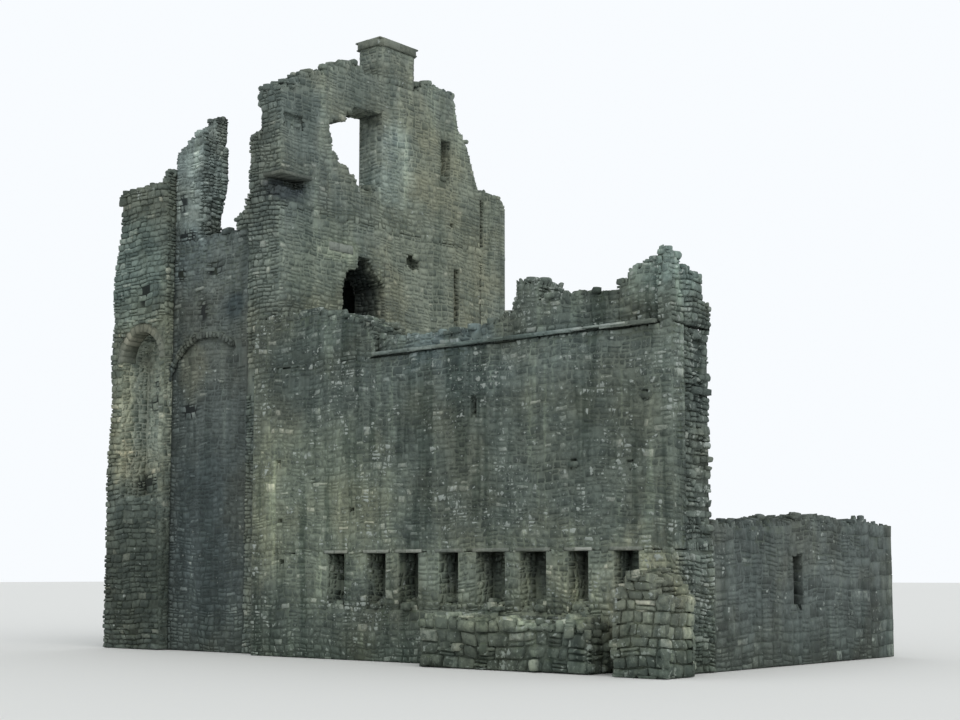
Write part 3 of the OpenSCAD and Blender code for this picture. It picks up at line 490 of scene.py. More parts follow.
class Plane:
    """One plane of the frame with its own axes, and the banded rubble laid over it."""

    def __init__(self, key, faces):
        self.walling, self.kind, self.detail = key[4:]
        self.faces = faces
        normal = np.mean([f[2] for f in faces], axis=0)
        normal /= np.linalg.norm(normal)
        if abs(normal[2]) > LEVEL:
            across = np.array([1.0, 0.0, 0.0])
            across -= normal * (across @ normal)
        else:
            across = np.cross([0.0, 0.0, 1.0], normal)
        across /= np.linalg.norm(across)
        self.normal, self.across, self.rise = normal, across, np.cross(normal, across)
        corners = np.array([f[1] for f in faces])
        self.flat = np.stack([corners @ across, corners @ self.rise], axis=2)
        self.offset = float(normal @ corners[0, 0])
        self.dressed = self.walling == "dressed"
        self.sway = 0.0 if self.dressed else SWAY
        seed = [int(abs(self.offset) * 100), int(100 + normal[0] * 50), int(100 + normal[1] * 50)]
        self.rng = np.random.default_rng(seed)
        self.wave = self.rng.uniform(0, TURN, 4)

    def node_at(self, parts, u):
        part = min(parts, key=lambda p: max(p[0] - u, u - p[1], 0))
        return self.faces[part[2]][0]

    def point_at(self, u, v):
        return self.across * u + self.rise * v + self.normal * self.offset

    def waved(self, u, v, sides, ends):
        """A corner moved by a slow wave, and kept inside the wall's outline."""
        a, b, c, d = self.wave
        du = self.sway * math.sin(v * 5.3 + a + math.sin(u * 1.3 + b))
        dv = self.sway * (math.sin(u * 1.9 + c + v * 0.7) + 0.5 * math.sin(u * 6.1 + d + v * 2.0))
        return min(max(u + du, sides[0]), sides[1]), min(max(v + dv, ends[0]), ends[1])

    def open_stretches(self, near, parts, bottom, top, a, b):
        """The parts of a band from a to b that no other node covers."""
        count = max(int((b - a) / PROBE), 1)
        step = (b - a) / count
        levels = [bottom + (top - bottom) * share for share in (0.3, 0.7)]
        stretches = []
        for i in range(count):
            u = a + (i + 0.5) * step
            node = self.node_at(parts, u)
            if all(near.cover(node, self.point_at(u, v), self.normal) for v in levels):
                continue
            low, high = a + i * step, a + (i + 1) * step
            if stretches and low - stretches[-1][1] < 0.001:
                stretches[-1][1] = high
            else:
                stretches.append([low, high])
        return [(max(a, low - UNDERLAP), min(b, high + UNDERLAP)) for low, high in stretches]

    def lay(self, heap, near):
        """Lays the whole plane, band by band."""
        (low, high), (short, long) = WALLING[self.walling]
        if self.kind in ("top", "torn", "end") and self.walling != "boulder":
            low, high = low * BROKEN_HEIGHT, high * BROKEN_HEIGHT
            short, long = short * BROKEN_LENGTH, long * BROKEN_LENGTH
        heights = self.flat[:, :, 1]
        for bottom, top in pairwise(split_evenly(self.rng, heights.min(), heights.max(), low, high)):
            for a, b, parts in spans_across(self.flat, (bottom + top) / 2, 1):
                if b - a < SHORTEST:
                    continue
                for start, end in self.open_stretches(near, parts, bottom, top, a, b):
                    for left, right in pairwise(split_evenly(self.rng, start, end, short, long)):
                        node = self.node_at(parts, (left + right) / 2)
                        self.lay_cell(heap, node, (a, b), bottom, top, left, right)

    def lay_cell(self, heap, node, sides, bottom, top, left, right):
        """Lays one cell of a band."""
        level = (bottom + top) / 2
        column = [s for s in spans_across(self.flat, (left + right) / 2, 0) if s[0] < level < s[1]]
        if not column:
            return
        ends = column[0][:2]
        foot, head = max(bottom, ends[0]), min(top, ends[1])
        if head - foot < LOWEST:
            return
        whole = self.dressed or self.detail == COARSE
        if self.walling in ("boulder", "core"):
            whole = self.rng.uniform() < WHOLE_SHARE
        for low, high in share_out(self.rng, foot, head, whole):
            self.lay_stone(heap, node, sides, ends, left, right, low, high)

    def lay_stone(self, heap, node, sides, ends, left, right, foot, head):
        """Lays one stone, unless it is lost or lies where an arch or a pit is."""
        rng = self.rng
        spot = self.point_at((left + right) / 2, (foot + head) / 2)
        if in_pit(spot, (right - left) / 2, (head - foot) / 2):
            return
        if any(arch.holds(spot, self.normal) for arch in ARCHES):
            return
        if rng.uniform() < LOST_STONES.get(self.kind, 0.0):
            return
        a, b = rng.uniform(-LEAN, LEAN, 2) * (not self.dressed)
        places = ((left - a, foot), (right - b, foot), (right + b, head), (left + a, head))
        shape = np.array([self.waved(u, v, sides, ends) for u, v in places])
        rough = self.kind in ("face", "torn") and is_rough(spot)
        relief = RELIEF["rough" if rough else self.kind]
        depth = rng.uniform(*relief, 4) * CORNER_SHARE + rng.uniform(*relief) * STONE_SHARE
        points = shape[:, :1] * self.across + shape[:, 1:] * self.rise + self.offset * self.normal
        heap.lay(node, self.detail, points, self.normal, depth, self.kind, rng.uniform())
        share, least, most = LOOSE.get(self.kind, (0, 0, 0))
        if share and rng.uniform() < share:
            half = rng.uniform(least, most)
            lift = half[2] * 0.8 if self.kind == "top" else -0.02
            heap.drop(node, spot + self.normal * lift, half, rng.uniform(0, HALF_TURN), rng.uniform())


# Stone meshes

def build_stones(rows, detail):
    """Points, quads, triangles and tints of one node's stones, all at once."""
    corners = np.array([r[0] for r in rows])
    normal = np.array([r[1] for r in rows])[:, None, :]
    depth = np.array([r[2] for r in rows])
    tint, bed, rounding, swell = (np.array([r[i] for r in rows]) for i in (3, 4, 5, 6))
    count = len(rows)
    rng = np.random.default_rng(count)

    def halved(values):
        """Each value, followed by the middle between it and the next."""
        between = (values + np.roll(values, -1, axis=1)) / 2
        return np.stack([values, between], axis=2).reshape(count, 8, *values.shape[2:])

    if detail != COARSE:
        corners, depth = halved(corners), halved(depth)
    sides = corners.shape[1]
    centre = corners.mean(1, keepdims=True)
    out = corners - centre
    reach = np.linalg.norm(out, axis=2, keepdims=True)
    toward = -out / np.maximum(reach, 1e-6)
    # The outline shrinks by the joint, and its corners are knocked off
    knock = rng.uniform(0.0, WANDER, (count, sides, 1))
    if detail != COARSE:
        knock[:, 0::2] += rng.uniform(*KNOCKED, (count, 4, 1)) * rounding[:, None, None]
    outer = corners + toward * np.minimum(JOINT + knock, reach * 0.25)
    shoulder = outer + toward * np.minimum(SHOULDER, reach * 0.1)
    bevel = rounding[:, None, None] * rng.uniform(*BEVELLED, (count, sides, 1))
    face = outer + toward * np.minimum(bevel, reach * 0.4)
    base = outer - normal * (bed[:, None, None] + ROOT)
    shoulder = shoulder - normal * (depth[:, :, None] + bevel * 0.6)
    face = face - normal * depth[:, :, None]
    middle = centre - normal * (depth.mean(1) - swell * rng.uniform(*SWOLLEN, count))[:, None, None]
    rings = [base, shoulder, face] if detail == FINE else [base, face]
    points = np.concatenate(rings + [middle], axis=1)
    per = points.shape[1]
    pattern = []
    for level in range(len(rings) - 1):
        for i in range(sides):
            a, b = level * sides + i, level * sides + (i + 1) % sides
            pattern.append((a, b, b + sides, a + sides))
    last = (len(rings) - 1) * sides
    caps = [(last + i, last + (i + 1) % sides, per - 1) for i in range(sides)]
    start = np.arange(count)[:, None, None] * per
    quads = (np.array(pattern)[None] + start).reshape(-1, 4)
    tris = (np.array(caps)[None] + start).reshape(-1, 3)
    return points.reshape(-1, 3), quads, tris, np.repeat(tint, per)


def block_form(cuts=3):
    """Points and quads of a rounded block in a box from -1 to 1."""
    points, quads = [], []
    marks = np.linspace(-1, 1, cuts + 1)
    for axis, side, i, j in product(range(3), (-1, 1), range(cuts), range(cuts)):
        quad = []
        for u, v in ((i, j), (i + 1, j), (i + 1, j + 1), (i, j + 1)):
            p = tuple(np.round(np.roll([side, marks[u], marks[v]], axis), 4))
            if p not in points:
                points.append(p)
            quad.append(points.index(p))
        quads.append(quad[::side])
    points = np.array(points)
    size = (np.abs(points) ** 7).sum(1) ** (1 / 7)
    return points / size[:, None], np.array(quads)


def build_blocks(rows):
    """The same for loose blocks, each dented, tilted and turned."""
    rng = np.random.default_rng(BLOCK_SEED + len(rows))
    form, form_quads = block_form()
    points, quads, tints = [], [], []
    for k, (middle, half, turn, tint) in enumerate(rows):
        p = form
        wave = rng.uniform(0, TURN, 6)
        dent = 0.07 * np.sin(p[:, 0] * 2.3 + wave[0] + p[:, 1] * 1.7) + 0.05 * np.sin(p[:, 2] * 2.9 + wave[1])
        p = p * (1 + dent[:, None]) * np.array(half)
        p[:, 2] += p[:, 0] * rng.uniform(-0.12, 0.12)
        c, s = math.cos(turn), math.sin(turn)
        p = np.stack([p[:, 0] * c - p[:, 1] * s, p[:, 0] * s + p[:, 1] * c, p[:, 2]], axis=1)
        points.append(p + np.array(middle))
        quads.append(form_quads + k * len(form))
        tints.append(np.full(len(p), tint))
    return np.concatenate(points), np.concatenate(quads), np.empty((0, 3), int), np.concatenate(tints)


def welded_mesh(node):
    """The node's points and triangles, with equal points made one."""
    points, faces = read_mesh(node)
    found = {}
    ids = np.array([found.setdefault(tuple(round(c, 4) for c in p), len(found)) for p in points.tolist()])
    firsts = np.unique(ids, return_index=True)[1]
    return points[firsts], ids[faces]


# Places in a triangle where its cover is tried, as shares of its corners
TRIED = ((1, 1, 1), (8, 1, 1), (1, 8, 1), (1, 1, 8), (4, 4, 1), (1, 4, 4), (4, 1, 4))


def build_bed(node, near):
    """The mortar: the node's own form, drawn in by its bed's depth where nothing covers it."""
    points, faces = welded_mesh(node)
    pulls = [[] for _ in points]
    sides = []
    free = set()
    for ids in faces:
        a, b, c = (points[i] for i in ids)
        n = np.cross(b - a, c - a)
        size = np.linalg.norm(n)
        if size < 1e-9:
            continue
        n /= size
        plane = (*np.round(n, 2), round(float(n @ a), 2))
        sides.append((ids, n, plane, (a + b + c) / 3))
        if plane in free:
            continue
        spots = [(a * i + b * j + c * k) / (i + j + k) for i, j, k in TRIED]
        if not all(near.cover(node, spot, n) for spot in spots):
            free.add(plane)
    for ids, n, plane, spot in sides:
        draw = BED[kind_of(node, n, spot)] if plane in free else 0.0
        for i in ids:
            pulls[i].append((n, -draw))
    moved = []
    for p, pull in zip(points, pulls):
        ways, draws = zip(*pull)
        step = np.linalg.lstsq(np.array(ways), np.array(draws), rcond=0.05)[0]
        moved.append(p + np.clip(step, -0.2, 0.2))
    return np.array(moved), np.empty((0, 4), int), faces, np.full(len(points), -1.0)


def loose_boxes(node):
    """The boxes of a node's separate solids, lowest first. Each is a plain block of 12 triangles."""
    points, faces = read_mesh(node)
    solids = points[faces].reshape(-1, 36, 3)
    return sorted(((p.min(0), p.max(0)) for p in solids), key=lambda box: box[0][2])


def lay_tusks(heap):
    """Bond stones in the torn end: each solid becomes two or three rough blocks of uneven reach."""
    rng = np.random.default_rng(TUSK_SEED)
    for low, high in loose_boxes("end_tusks"):
        for a, b in pairwise(split_evenly(rng, low[1], high[1], 0.26, 0.52)):
            reach = high[0] - rng.uniform(0.0, 0.07)
            back = low[0] - 0.12
            up, down = rng.uniform(0.0, 0.03, 2)
            middle = ((reach + back) / 2, (a + b) / 2, (low[2] + high[2]) / 2 + (down - up) / 2)
            half = ((reach - back) / 2, (b - a) / 2 - 0.008, (high[2] - low[2] - up - down) / 2)
            heap.drop("end_tusks", middle, half, rng.uniform(-0.05, 0.05), rng.uniform(0.1, 1.0))


def lay_jutting(heap):
    """Flat pale stones that stand out of their wall, and lie nearly flush in the front wall."""
    rng = np.random.default_rng(JUTTING_SEED)
    for node, (face, spots) in JUTTING.items():
        flush = node == "front_wall"
        highest = 0.075 if flush else 0.045
        for x, z in spots:
            half = rng.uniform((0.08, 0.09, 0.03), (0.19, 0.12, highest))
            proud = 0.012 if flush else rng.uniform(0.03, 0.06)
            turn = rng.uniform(-0.1, 0.1) * (not flush)
            heap.drop(node, (x, face + half[1] - proud, z), half, turn, rng.uniform(0.9, 1.0))


def lay_cappings(heap):
    """Pale flat stones left along the front edge of the low footing and on the stub."""
    rng = np.random.default_rng(CAPPING_SEED)
    for node, share in (("front_footing", 0.8), ("corner_stub", 0.6)):
        low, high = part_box(node)
        x = low[0] + 0.15
        while x < high[0] - 0.1:
            half = rng.uniform((0.12, 0.12, 0.03), (0.27, 0.18, 0.05))
            y = low[1] + 0.16 + rng.uniform(0.0, 0.08)
            hit, top, _, _ = frame["nodes"][node].ray_cast((x, y, cad_high[2] + 1), (0, 0, -1))
            if hit and rng.uniform() < share:
                heap.drop(node, (x, y, top[2] - 0.02), half, rng.uniform(-0.25, 0.25), rng.uniform(0.7, 1.0))
            x += half[0] * 2 + 0.04


def put(name, data):
    """A new object in the scene."""
    obj = bpy.data.objects.new(name, data)
    bpy.context.scene.collection.objects.link(obj)
    return obj


def make_mesh(name, blocks):
    """One object from blocks of points, quads, triangles and tints."""
    faces = []
    base = 0
    for points, quads, tris, _ in blocks:
        faces += (quads + base).tolist() + (tris + base).tolist()
        base += len(points)
    points = np.clip(np.concatenate([b[0] for b in blocks]), BOX_LOW, BOX_HIGH)
    mesh = bpy.data.meshes.new(name)
    mesh.from_pydata(points, [], faces, shade_flat=False)
    mesh.validate()
    layer = mesh.attributes.new("stone_tint", "FLOAT", "POINT")
    layer.data.foreach_set("value", np.concatenate([b[3] for b in blocks]).astype(np.float32))
    return put(name, mesh)


# Shader helpers

VALUE, VECTOR, COLOUR = "NodeSocketFloat", "NodeSocketVector", "NodeSocketColor"
AMOUNT, MASK = {"Amount": VALUE}, {"Mask": VALUE}


def rgb(*values):
    return (*values, 1)


class Wiring:
    """Short ways to add nodes to one tree."""

    def __init__(self, tree):
        self.tree = tree

    def node(self, kind, **settings):
        made = self.tree.nodes.new(kind)
        for name, value in settings.items():
            setattr(made, name, value)
        return made

    def feed(self, socket, value):
        if isinstance(value, bpy.types.NodeSocket):
            self.tree.links.new(value, socket)
        else:
            socket.default_value = value

    def fill(self, made, values):
        for socket, value in values.items():
            self.feed(made.inputs[socket], value)

    def math(self, operation, a, b, clamp=False):
        made = self.node("ShaderNodeMath", operation=operation, use_clamp=clamp)
        self.fill(made, {0: a, 1: b})
        return made.outputs[0]

    def add(self, a, b):
        return self.math("ADD", a, b)

    def times(self, a, b):
        return self.math("MULTIPLY", a, b)

    def swing(self, noise, size):
        """A noise made to swing about nothing."""
        return self.times(self.math("SUBTRACT", noise, 0.5), size)

    def mix(self, share, a, b, blend="MIX"):
        made = self.node("ShaderNodeMix", data_type="RGBA", blend_type=blend)
        self.fill(made, {0: share, 6: a, 7: b})
        return made.outputs[2]

    def wash(self, mask, colour, gain):
        """A colour multiplied by a gain, as far as the mask says."""
        return self.mix(mask, colour, rgb(*gain), "MULTIPLY")

    def noise(self, vector, scale, detail, rough=0.6):
        made = self.node("ShaderNodeTexNoise")
        self.fill(made, {"Vector": vector, "Scale": scale, "Detail": detail, "Roughness": rough})
        return made.outputs["Fac"]

    def step(self, value, low, high, out_low=0.0, out_high=1.0):
        made = self.node("ShaderNodeMapRange", interpolation_type="SMOOTHSTEP")
        self.fill(made, {"Value": value, "From Min": low, "From Max": high})
        self.fill(made, {"To Min": out_low, "To Max": out_high})
        return made.outputs["Result"]

    def vector(self, operation, a, b, output=0):
        made = self.node("ShaderNodeVectorMath", operation=operation)
        self.fill(made, {0: a, 1: b})
        return made.outputs[output]

    def height_of(self, vector):
        parts = self.node("ShaderNodeSeparateXYZ")
        self.feed(parts.inputs[0], vector)
        return parts.outputs["Z"]


GROUPS = {}


def new_group(name, inputs, outputs):
    """An empty shader group. Returns its wiring, position, inputs and outputs."""
    group = bpy.data.node_groups.new(name, "ShaderNodeTree")
    for title, kind in {"Position": VECTOR, **inputs}.items():
        group.interface.new_socket(name=title, in_out="INPUT", socket_type=kind)
    for title, kind in outputs.items():
        group.interface.new_socket(name=title, in_out="OUTPUT", socket_type=kind)
    GROUPS[name] = group
    w = Wiring(group)
    given = w.node("NodeGroupInput").outputs
    return w, given["Position"], given, w.node("NodeGroupOutput").inputs


def stone_tone_group():
    """Colour of one stone, from dark to pale by its own tint. A tint below nothing is the mortar."""
    colours = dict.fromkeys(("Dark", "Middle", "Pale", "Mortar"), COLOUR)
    w, position, given, out = new_group(
        "stone_tone", {"Tint": VALUE, "Pale Share": VALUE, **colours},
        {"Color": COLOUR, "Mottle": VALUE, "In Joint": VALUE})
    mottle = w.noise(position, 9.0, 7.0, 0.7)
    blot = w.noise(position, 1.5, 5.0, 0.65)
    swing = w.add(w.swing(mottle, 2.1), w.swing(blot, 2.6))
    shade = w.add(w.times(given["Tint"], 0.62), w.add(swing, 0.2))
    lower = w.mix(w.step(shade, 0.0, 1.0), given["Dark"], given["Middle"])
    edge = w.math("SUBTRACT", 1.0, given["Pale Share"])
    own = w.add(given["Tint"], w.swing(mottle, 0.3))
    stone = w.mix(w.step(own, edge, w.add(edge, 0.08), 0.0, 0.85), lower, given["Pale"])
    in_joint = w.step(given["Tint"], -0.4, -0.6)
    bed = w.mix(w.step(mottle, 0.3, 0.7), given["Mortar"], given["Middle"])
    w.feed(out["Color"], w.mix(in_joint, stone, bed))
    w.feed(out["Mottle"], mottle)
    w.feed(out["In Joint"], in_joint)


def lichen_group():
    """Pale crusts of lichen in flecks of two sizes, thicker in patches."""
    w, position, given, out = new_group("lichen", AMOUNT, MASK)
    patches = w.noise(position, 0.7, 3.0, 0.55)
    spots = w.noise(position, 5.0, 4.0, 0.55)
    specks = w.noise(position, 15.0, 4.0)
    level = w.add(w.times(patches, 0.35), w.times(given["Amount"], 0.18))
    big = w.step(w.add(spots, level), 0.93, 0.99)
    small = w.step(w.add(specks, level), 0.94, 1.0)
    w.feed(out["Mask"], w.math("MAXIMUM", big, w.times(small, 0.75)))


def rain_group():
    """Wash marks that run down a wall."""
    w, position, given, out = new_group("rain_marks", AMOUNT, {"Dark": VALUE, "Pale": VALUE})
    wide = w.noise(w.vector("MULTIPLY", position, (1.0, 1.0, 0.12)), 1.5, 4.0)
    thin = w.noise(w.vector("MULTIPLY", position, (1.0, 1.0, 0.07)), 5.0, 3.0, 0.55)
    both = w.add(w.times(wide, 0.6), w.times(thin, 0.4))
    w.feed(out["Dark"], w.times(w.step(both, 0.49, 0.62), given["Amount"]))
    w.feed(out["Pale"], w.times(w.step(both, 0.47, 0.36), given["Amount"]))


def weather_group():
    """Broad patches of a browner cast, dark stains, and the noise that makes a zone's edge ragged."""
    w, position, _, out = new_group("weather", {}, {"Cast": VALUE, "Stain": VALUE, "Ragged": VALUE})
    w.feed(out["Cast"], w.step(w.noise(position, 0.45, 3.0, 0.55), 0.42, 0.65))
    stain = w.noise(w.vector("MULTIPLY", position, (1.0, 1.0, 0.75)), 0.9, 6.0, 0.68)
    w.feed(out["Stain"], w.step(stain, 0.5, 0.64))
    w.feed(out["Ragged"], w.noise(position, 2.2, 5.0, 0.65))


def moss_group():
    """Moss in patches on whatever looks up."""
    w, position, given, out = new_group("moss", {"Normal": VECTOR, **AMOUNT}, MASK)
    level = w.step(w.height_of(given["Normal"]), 0.2, 0.9)
    grown = w.step(w.noise(position, 2.3, 5.0), 0.45, 0.62)
    w.feed(out["Mask"], w.times(w.times(level, grown), given["Amount"]))


def damp_group():
    """Damp that darkens the lowest courses."""
    w, position, given, out = new_group("damp_foot", AMOUNT, MASK)
    w.feed(out["Mask"], w.step(w.height_of(position), 1.7, 0.0, 0.0, given["Amount"]))


def grain_group():
    """Fine height of a stone's surface: lumps, grit and bedding."""
    w, position, _, out = new_group("stone_grain", {}, {"Height": VALUE})
    grit = w.noise(position, 38.0, 5.0, 0.65)
    lumps = w.noise(position, 9.0, 5.0)
    bedding = w.noise(w.vector("MULTIPLY", position, (1.0, 1.0, 5.0)), 6.0, 3.0)
    w.feed(out["Height"], w.add(w.add(lumps, w.times(grit, 0.35)), w.times(bedding, 0.4)))


def zone_group():
    """A soft-edged region of the wall, by its middle and reach."""
    sockets = {"Middle": VECTOR, "Reach": VECTOR, "Noise": VALUE}
    w, position, given, out = new_group("zone", sockets, MASK)
    away = w.vector("DIVIDE", w.vector("SUBTRACT", position, given["Middle"]), given["Reach"])
    far = w.vector("LENGTH", away, (0, 0, 0), 1)
    w.feed(out["Mask"], w.step(w.add(far, w.swing(given["Noise"], 1.1)), 1.2, 0.6))


for make_group in (stone_tone_group, lichen_group, rain_group, weather_group, moss_group, damp_group,
                   grain_group, zone_group):
    make_group()


def middle_of(node):
    return tuple((a + b) / 2 for a, b in zip(*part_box(node)))


MATERIALS = {}


def stone_material(name, dark, middle, pale, mortar, zones, pale_share=0.05, lichen=0.4, rain=0.3,
                   moss=0.35, damp_foot=0.0, stain=0.4):
    """Rubble stone with its mortar, stains, lichen, rain and moss, and painted shade in its pits. A zone is a
    middle, a reach and a gain; some zones are painted shade or painted light.
    """
    material = bpy.data.materials.new(name)
    material.use_nodes = True
    w = Wiring(material.node_tree)
    shader = material.node_tree.nodes["Principled BSDF"]
    geometry = w.node("ShaderNodeNewGeometry").outputs
    tint = w.node("ShaderNodeAttribute", attribute_name="stone_tint").outputs["Fac"]

    def group(key, **values):
        made = w.node("ShaderNodeGroup", node_tree=GROUPS[key])
        w.feed(made.inputs["Position"], geometry["Position"])
        w.fill(made, {title.replace("_", " "): value for title, value in values.items()})
        return made.outputs

    tone = group("stone_tone", Tint=tint, Dark=rgb(*dark), Middle=rgb(*middle), Pale=rgb(*pale),
                 Mortar=rgb(*mortar), Pale_Share=pale_share)
    weather = group("weather")
    colour = w.wash(w.times(weather["Cast"], 0.7), tone["Color"], (1.12, 1.02, 0.91))
    colour = w.wash(w.times(weather["Stain"], stain), colour, (0.62, 0.64, 0.64))
    # Zones: broad tone changes, some of them painted shade or painted light
    for place, reach, gain in zones.values():
        mask = group("zone", Middle=place, Reach=reach, Noise=weather["Ragged"])["Mask"]
        colour = w.wash(mask, colour, gain)
    # Pits: the bare bed in each is darkened as painted shade of a deep hole
    for place, wide, high in PITS.get(name, ()):
        reach = (wide * PIT_SHADE_SPREAD, 0.4, high * PIT_SHADE_SPREAD)
        mask = group("zone", Middle=place, Reach=reach, Noise=0.5)["Mask"]
        colour = w.wash(w.times(mask, tone["In Joint"]), colour, (0.14, 0.15, 0.16))
    marks = group("rain_marks", Amount=rain)
    colour = w.wash(w.times(marks["Dark"], 0.75), colour, (0.48, 0.53, 0.52))
    colour = w.wash(w.times(marks["Pale"], 0.65), colour, (1.6, 1.6, 1.5))
    grown = group("moss", Normal=geometry["Normal"], Amount=moss)["Mask"]
    colour = w.mix(grown, colour, rgb(.06, .08, .03))
    bare = w.math("SUBTRACT", 1.0, tone["In Joint"], clamp=True)
    crust = w.times(group("lichen", Amount=lichen)["Mask"], bare)
    colour = w.mix(w.times(crust, 0.75), colour, rgb(.36, .40, .37))
    if damp_foot:
        colour = w.wash(group("damp_foot", Amount=damp_foot)["Mask"], colour, (0.55, 0.62, 0.5))
    bump = w.node("ShaderNodeBump")
    w.fill(bump, {"Strength": 0.8, "Distance": 0.018, "Height": group("stone_grain")["Height"]})
    w.fill(shader, {
        "Base Color": colour, "Roughness": w.step(tone["Mottle"], 0.3, 0.7, 0.82, 0.97),
        "Specular IOR Level": 0.25, "Normal": bump.outputs["Normal"],
    })
    MATERIALS[name] = material


stone_material(
    "grey_rubble", (.060, .076, .068), (.140, .170, .148), (.27, .30, .27), (.090, .110, .094),
    pale_share=0.07, lichen=0.8, rain=1.2, damp_foot=0.4,
    zones={
        "left foot": ((-1.2, -4.3, 3.5), (3, 2, 2.4), (1.54, 1.49, 1.36)),
        "left edge": ((-2.9, -4.3, 4.6), (.6, 1, 2.4), (1.15, 1.14, 1.12)),
        "below the ledge": ((4.9, -4.3, 6.7), (4.4, 1, .9), (1.12, 1.14, 1.19)),
        "upper left": ((-1.3, -4.3, 7.1), (2.4, 1, 1.3), (.84, .86, .88)),
        "west head": (middle_of("parapet_west"), (2, .8, .9), (1.14, 1.16, 1.15)),
        "middle head": (middle_of("parapet_middle"), (1.6, .8, 1.2), (1.28, 1.34, 1.48)),
        "right edge": ((8.95, -4.4, 5.2), (.45, .6, 2.4), (1.25, 1.24, 1.22)),
        "right end": ((9.2, -3.2, 4.5), (.6, .8, 3.2), (1.1, 1.1, 1.12)),
        "peak": ((8.7, -3.9, 9.3), (1.6, 1.2, 1.7), (2, 2.12, 2.2)),
        "piers": ((5.2, -4.25, 1.9), (4.6, .3, 1.2), (1.55, 1.5, 1.42)),
        "footing": ((4.5, -5.1, 1.15), (4, .5, .32), (2.05, 1.98, 1.84)),
        "sockets": ((4.8, -3.95, 1.5), (4.6, .35, .5), (1.4, 1.37, 1.3)),
        "stub": ((8.6, -4.8, 1.5), (1.5, 1, 1.6), (1.7, 1.53, 1.38)),
    })
stone_material(
    "buff_rubble", (.105, .130, .116), (.215, .250, .216), (.34, .365, .32), (.155, .182, .158),
    rain=0.7, moss=0.3, stain=0.5,
    zones={
        "north": ((-3, 2.6, 11.5), (1.5, 3.2, 4), (1.12, 1.08, 1)),
        "upper left": ((-3.2, -3.3, 12.8), (1.6, 1.7, 2.6), (.83, .86, .91)),
        # Painted shade: the wall below the hood is darkened for the shade of its pocket
        "painted shade below the hood": ((-3.1, -3.55, 12), (.9, .75, .42), (.36, .38, .45)),
        # Painted shade: the walls seen through the doorway are darkened for the dark inside
        "doorway": ((-3.85, -.5, 9.6), (.65, 1.2, 1.2), (.36, .38, .42)),
        "low left": ((-3.2, -3.6, 5), (1.8, 1.2, 4), (.76, .78, .8)),
        "south stage": ((-3.2, -2.2, 10.2), (1.2, 1.5, 1.5), (1.14, 1.13, 1.06)),
        "window jamb": ((-3.3, .5, 13.3), (1.3, .9, 1.3), (1.42, 1.48, 1.6)),
        "door head": ((-3.1, -1.6, 10.6), (.9, .8, .35), (1.45, 1.42, 1.35)),
    })
stone_material(
    "core_rubble", (.070, .090, .080), (.160, .192, .166), (.30, .32, .27), (.088, .104, .088),
    pale_share=0.06,
    zones={
        "recess": ((-8.3, -3.3, 6.3), (1.3, 1.1, 2.7), (2.6, 2.44, 2.4)),
        "head": ((-8.6, -4.1, 10.3), (1.3, .8, 1.7), (1.22, 1.3, 1.34)),
        "right jamb": ((-7.3, -4.1, 7.4), (.36, .6, 3.3), (1.25, 1.2, 1.12)),
        "left jamb": ((-9.1, -4.1, 6.6), (.6, .5, 2.2), (1.3, 1.22, 1.1)),
        "foot": ((-8.3, -4.1, 1.8), (1.8, .8, 2.2), (.55, .56, .54)),
    })
stone_material(
    "dark_rubble", (.055, .067, .063), (.125, .150, .142), (.24, .27, .25), (.080, .097, .091),
    lichen=0.45, rain=0.8, damp_foot=0.3,
    zones={
        "beside the scar": ((-6.4, -3.9, 7.5), (.7, .5, .9), (1.35, 1.28, 1.15)),
        "upper right": ((-5.2, -3.9, 10.1), (.9, .5, .9), (1.2, 1.15, 1.1)),
        # Painted shade: a small dark patch for the shade in a small opening near the corner
        "corner": ((-4.74, -3.9, 9), (.42, .5, .38), (.6, .66, .72)),
        "foot": ((-5.7, -3.9, 3), (1.8, .6, 2.6), (.8, .84, .88)),
        # Lighter: partly the spike's paler stone, partly painted light that offsets the shade on its torn end
        # beside the cross wall
        "spike": ((-6.6, -3.6, 12.8), (1.1, 1.3, 2), (2.35, 2.37, 2.4)),
        "upper half": ((-6, -3.9, 10.3), (1.6, .5, 1.2), (1.08, 1.12, 1.16)),
        # Painted light: the west and north faces, which the sun does not reach, are made lighter
        "west": ((-9.6, 1, 6), (.6, 8, 9), (1.3, 1.3, 1.24)),
        "north": ((0, 5.4, 5), (12, .8, 9), (1.25, 1.25, 1.2)),
    })
stone_material(
    "dressed_stone", (.14, .16, .14), (.26, .285, .25), (.38, .40, .36), (.11, .13, .11),
    pale_share=0.12, moss=0.3,
    zones={
        # Painted shade: the arch is darkened for the shade on its haunches
        "arch": (middle_of("mural_arch"), (1.5, .8, 1.1), (.7, .7, .66)),
        # Painted shade: the hood is darkened for the shade in its pocket
        "hood": (middle_of("fireplace_hood"), (.8, 1.1, .3), (.5, .53, .55)),
        "cap": (middle_of("chimney_cap"), (1.5, 1.5, .5), (.72, .74, .72)),
        "ledge middle": ((4.7, -4.4, 7.2), (1.8, .5, .4), (.6, .66, .68)),
        "ledge": ((4.8, -4.4, 7.2), (6, .5, .5), (.95, 1.03, 1.08)),
    })


# Making the pieces

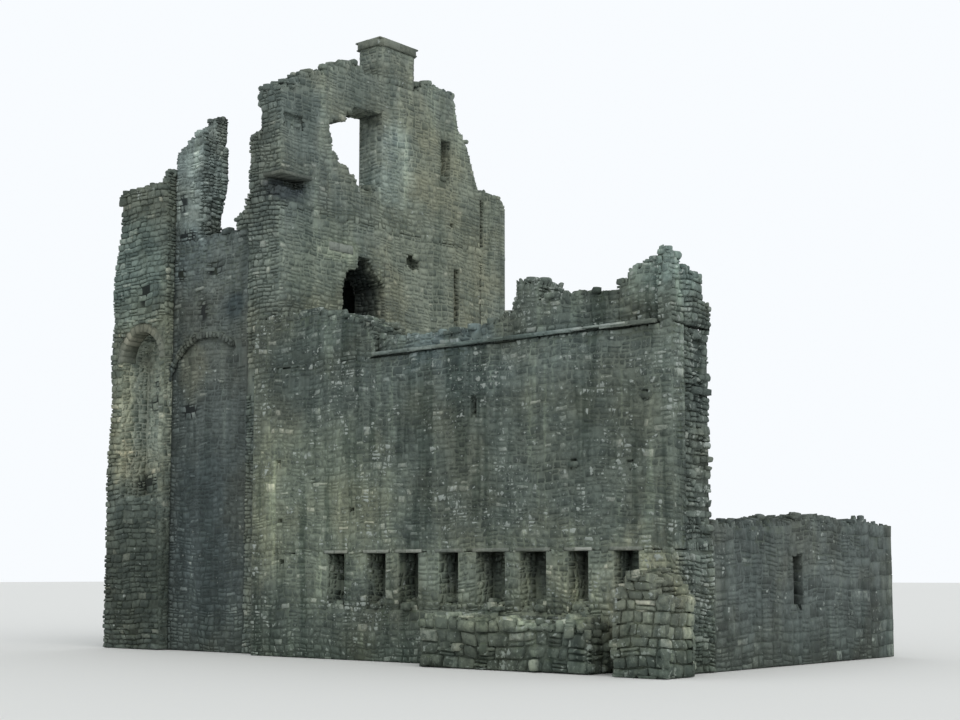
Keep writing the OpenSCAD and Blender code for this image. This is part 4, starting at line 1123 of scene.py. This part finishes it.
def dress_keep():
    """Lays all the stones, then makes one piece for every node."""
    near = Neighbours()
    heap = Heap()
    for key, faces in read_planes().items():
        Plane(key, faces).lay(heap, near)
    rng = np.random.default_rng(ARCH_SEED)
    for arch in ARCHES:
        lay_arch(heap, arch, rng)
    lay_tusks(heap)
    lay_jutting(heap)
    lay_cappings(heap)
    slots = {s["node"]: s["material_slot"] for s in frame["record"]["subparts"]}
    for node in sorted(frame["nodes"]):
        blocks = [] if node == "end_tusks" else [build_bed(node, near)]
        for detail in (FINE, MIDDLE, COARSE):
            if (node, detail) in heap.rows:
                blocks.append(build_stones(heap.rows[node, detail], detail))
        if node in heap.blocks:
            blocks.append(build_blocks(heap.blocks[node]))
        piece = make_mesh(node + "_stones", blocks)
        piece.data.materials.append(MATERIALS[slots[node]])
        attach(piece, "root")
        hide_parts(node)


def make_stage():
    """Plain pale floor, and a world that looks white behind the object."""
    bpy.ops.mesh.primitive_plane_add(size=600)
    floor = bpy.context.active_object
    floor.name = "floor"
    material = bpy.data.materials.new("floor")
    material.use_nodes = True
    w = Wiring(material.node_tree)
    w.fill(material.node_tree.nodes["Principled BSDF"], {"Base Color": rgb(.72, .72, .70), "Roughness": 0.95})
    floor.data.materials.append(material)
    world = bpy.data.worlds.new("sky")
    bpy.context.scene.world = world
    world.use_nodes = True
    w = Wiring(world.node_tree)
    back = world.node_tree.nodes["Background"]
    w.fill(back, {"Color": rgb(.93, .97, 1.0), "Strength": 0.8})
    white = w.node("ShaderNodeBackground")
    w.fill(white, {"Color": rgb(.94, .97, 1.0)})
    ray = w.node("ShaderNodeLightPath").outputs
    seen = w.add(ray["Is Camera Ray"], ray["Is Glossy Ray"])
    seen = w.math("ADD", seen, ray["Is Transmission Ray"], clamp=True)
    blend = w.node("ShaderNodeMixShader")
    w.fill(blend, {0: seen, 1: back.outputs[0], 2: white.outputs[0]})
    w.feed(world.node_tree.nodes["World Output"].inputs["Surface"], blend.outputs[0])


def make_lights():
    """Soft light from a bright overcast sky, a little stronger from the south-east."""
    sun = bpy.data.lights.new("soft_sun", "SUN")
    sun.energy = 1.1
    sun.angle = math.radians(60)
    sun.color = (1.0, 0.98, 0.95)
    obj = put("soft_sun", sun)
    obj.rotation_euler = Vector((-0.75, 0.45, -0.8)).to_track_quat("-Z", "Y").to_euler()


def make_camera():
    """The photograph's view, in the Standard view transform."""
    cam = bpy.data.cameras.new("camera")
    cam.lens = LENS
    cam.shift_y = SHIFT_UP
    obj = put("camera", cam)
    obj.location = EYE
    obj.rotation_euler = (math.pi / 2 + PITCH, 0, YAW)
    bpy.context.scene.camera = obj
    bpy.context.scene.view_settings.view_transform = "Standard"


make_camera()
dress_keep()
make_stage()
make_lights()
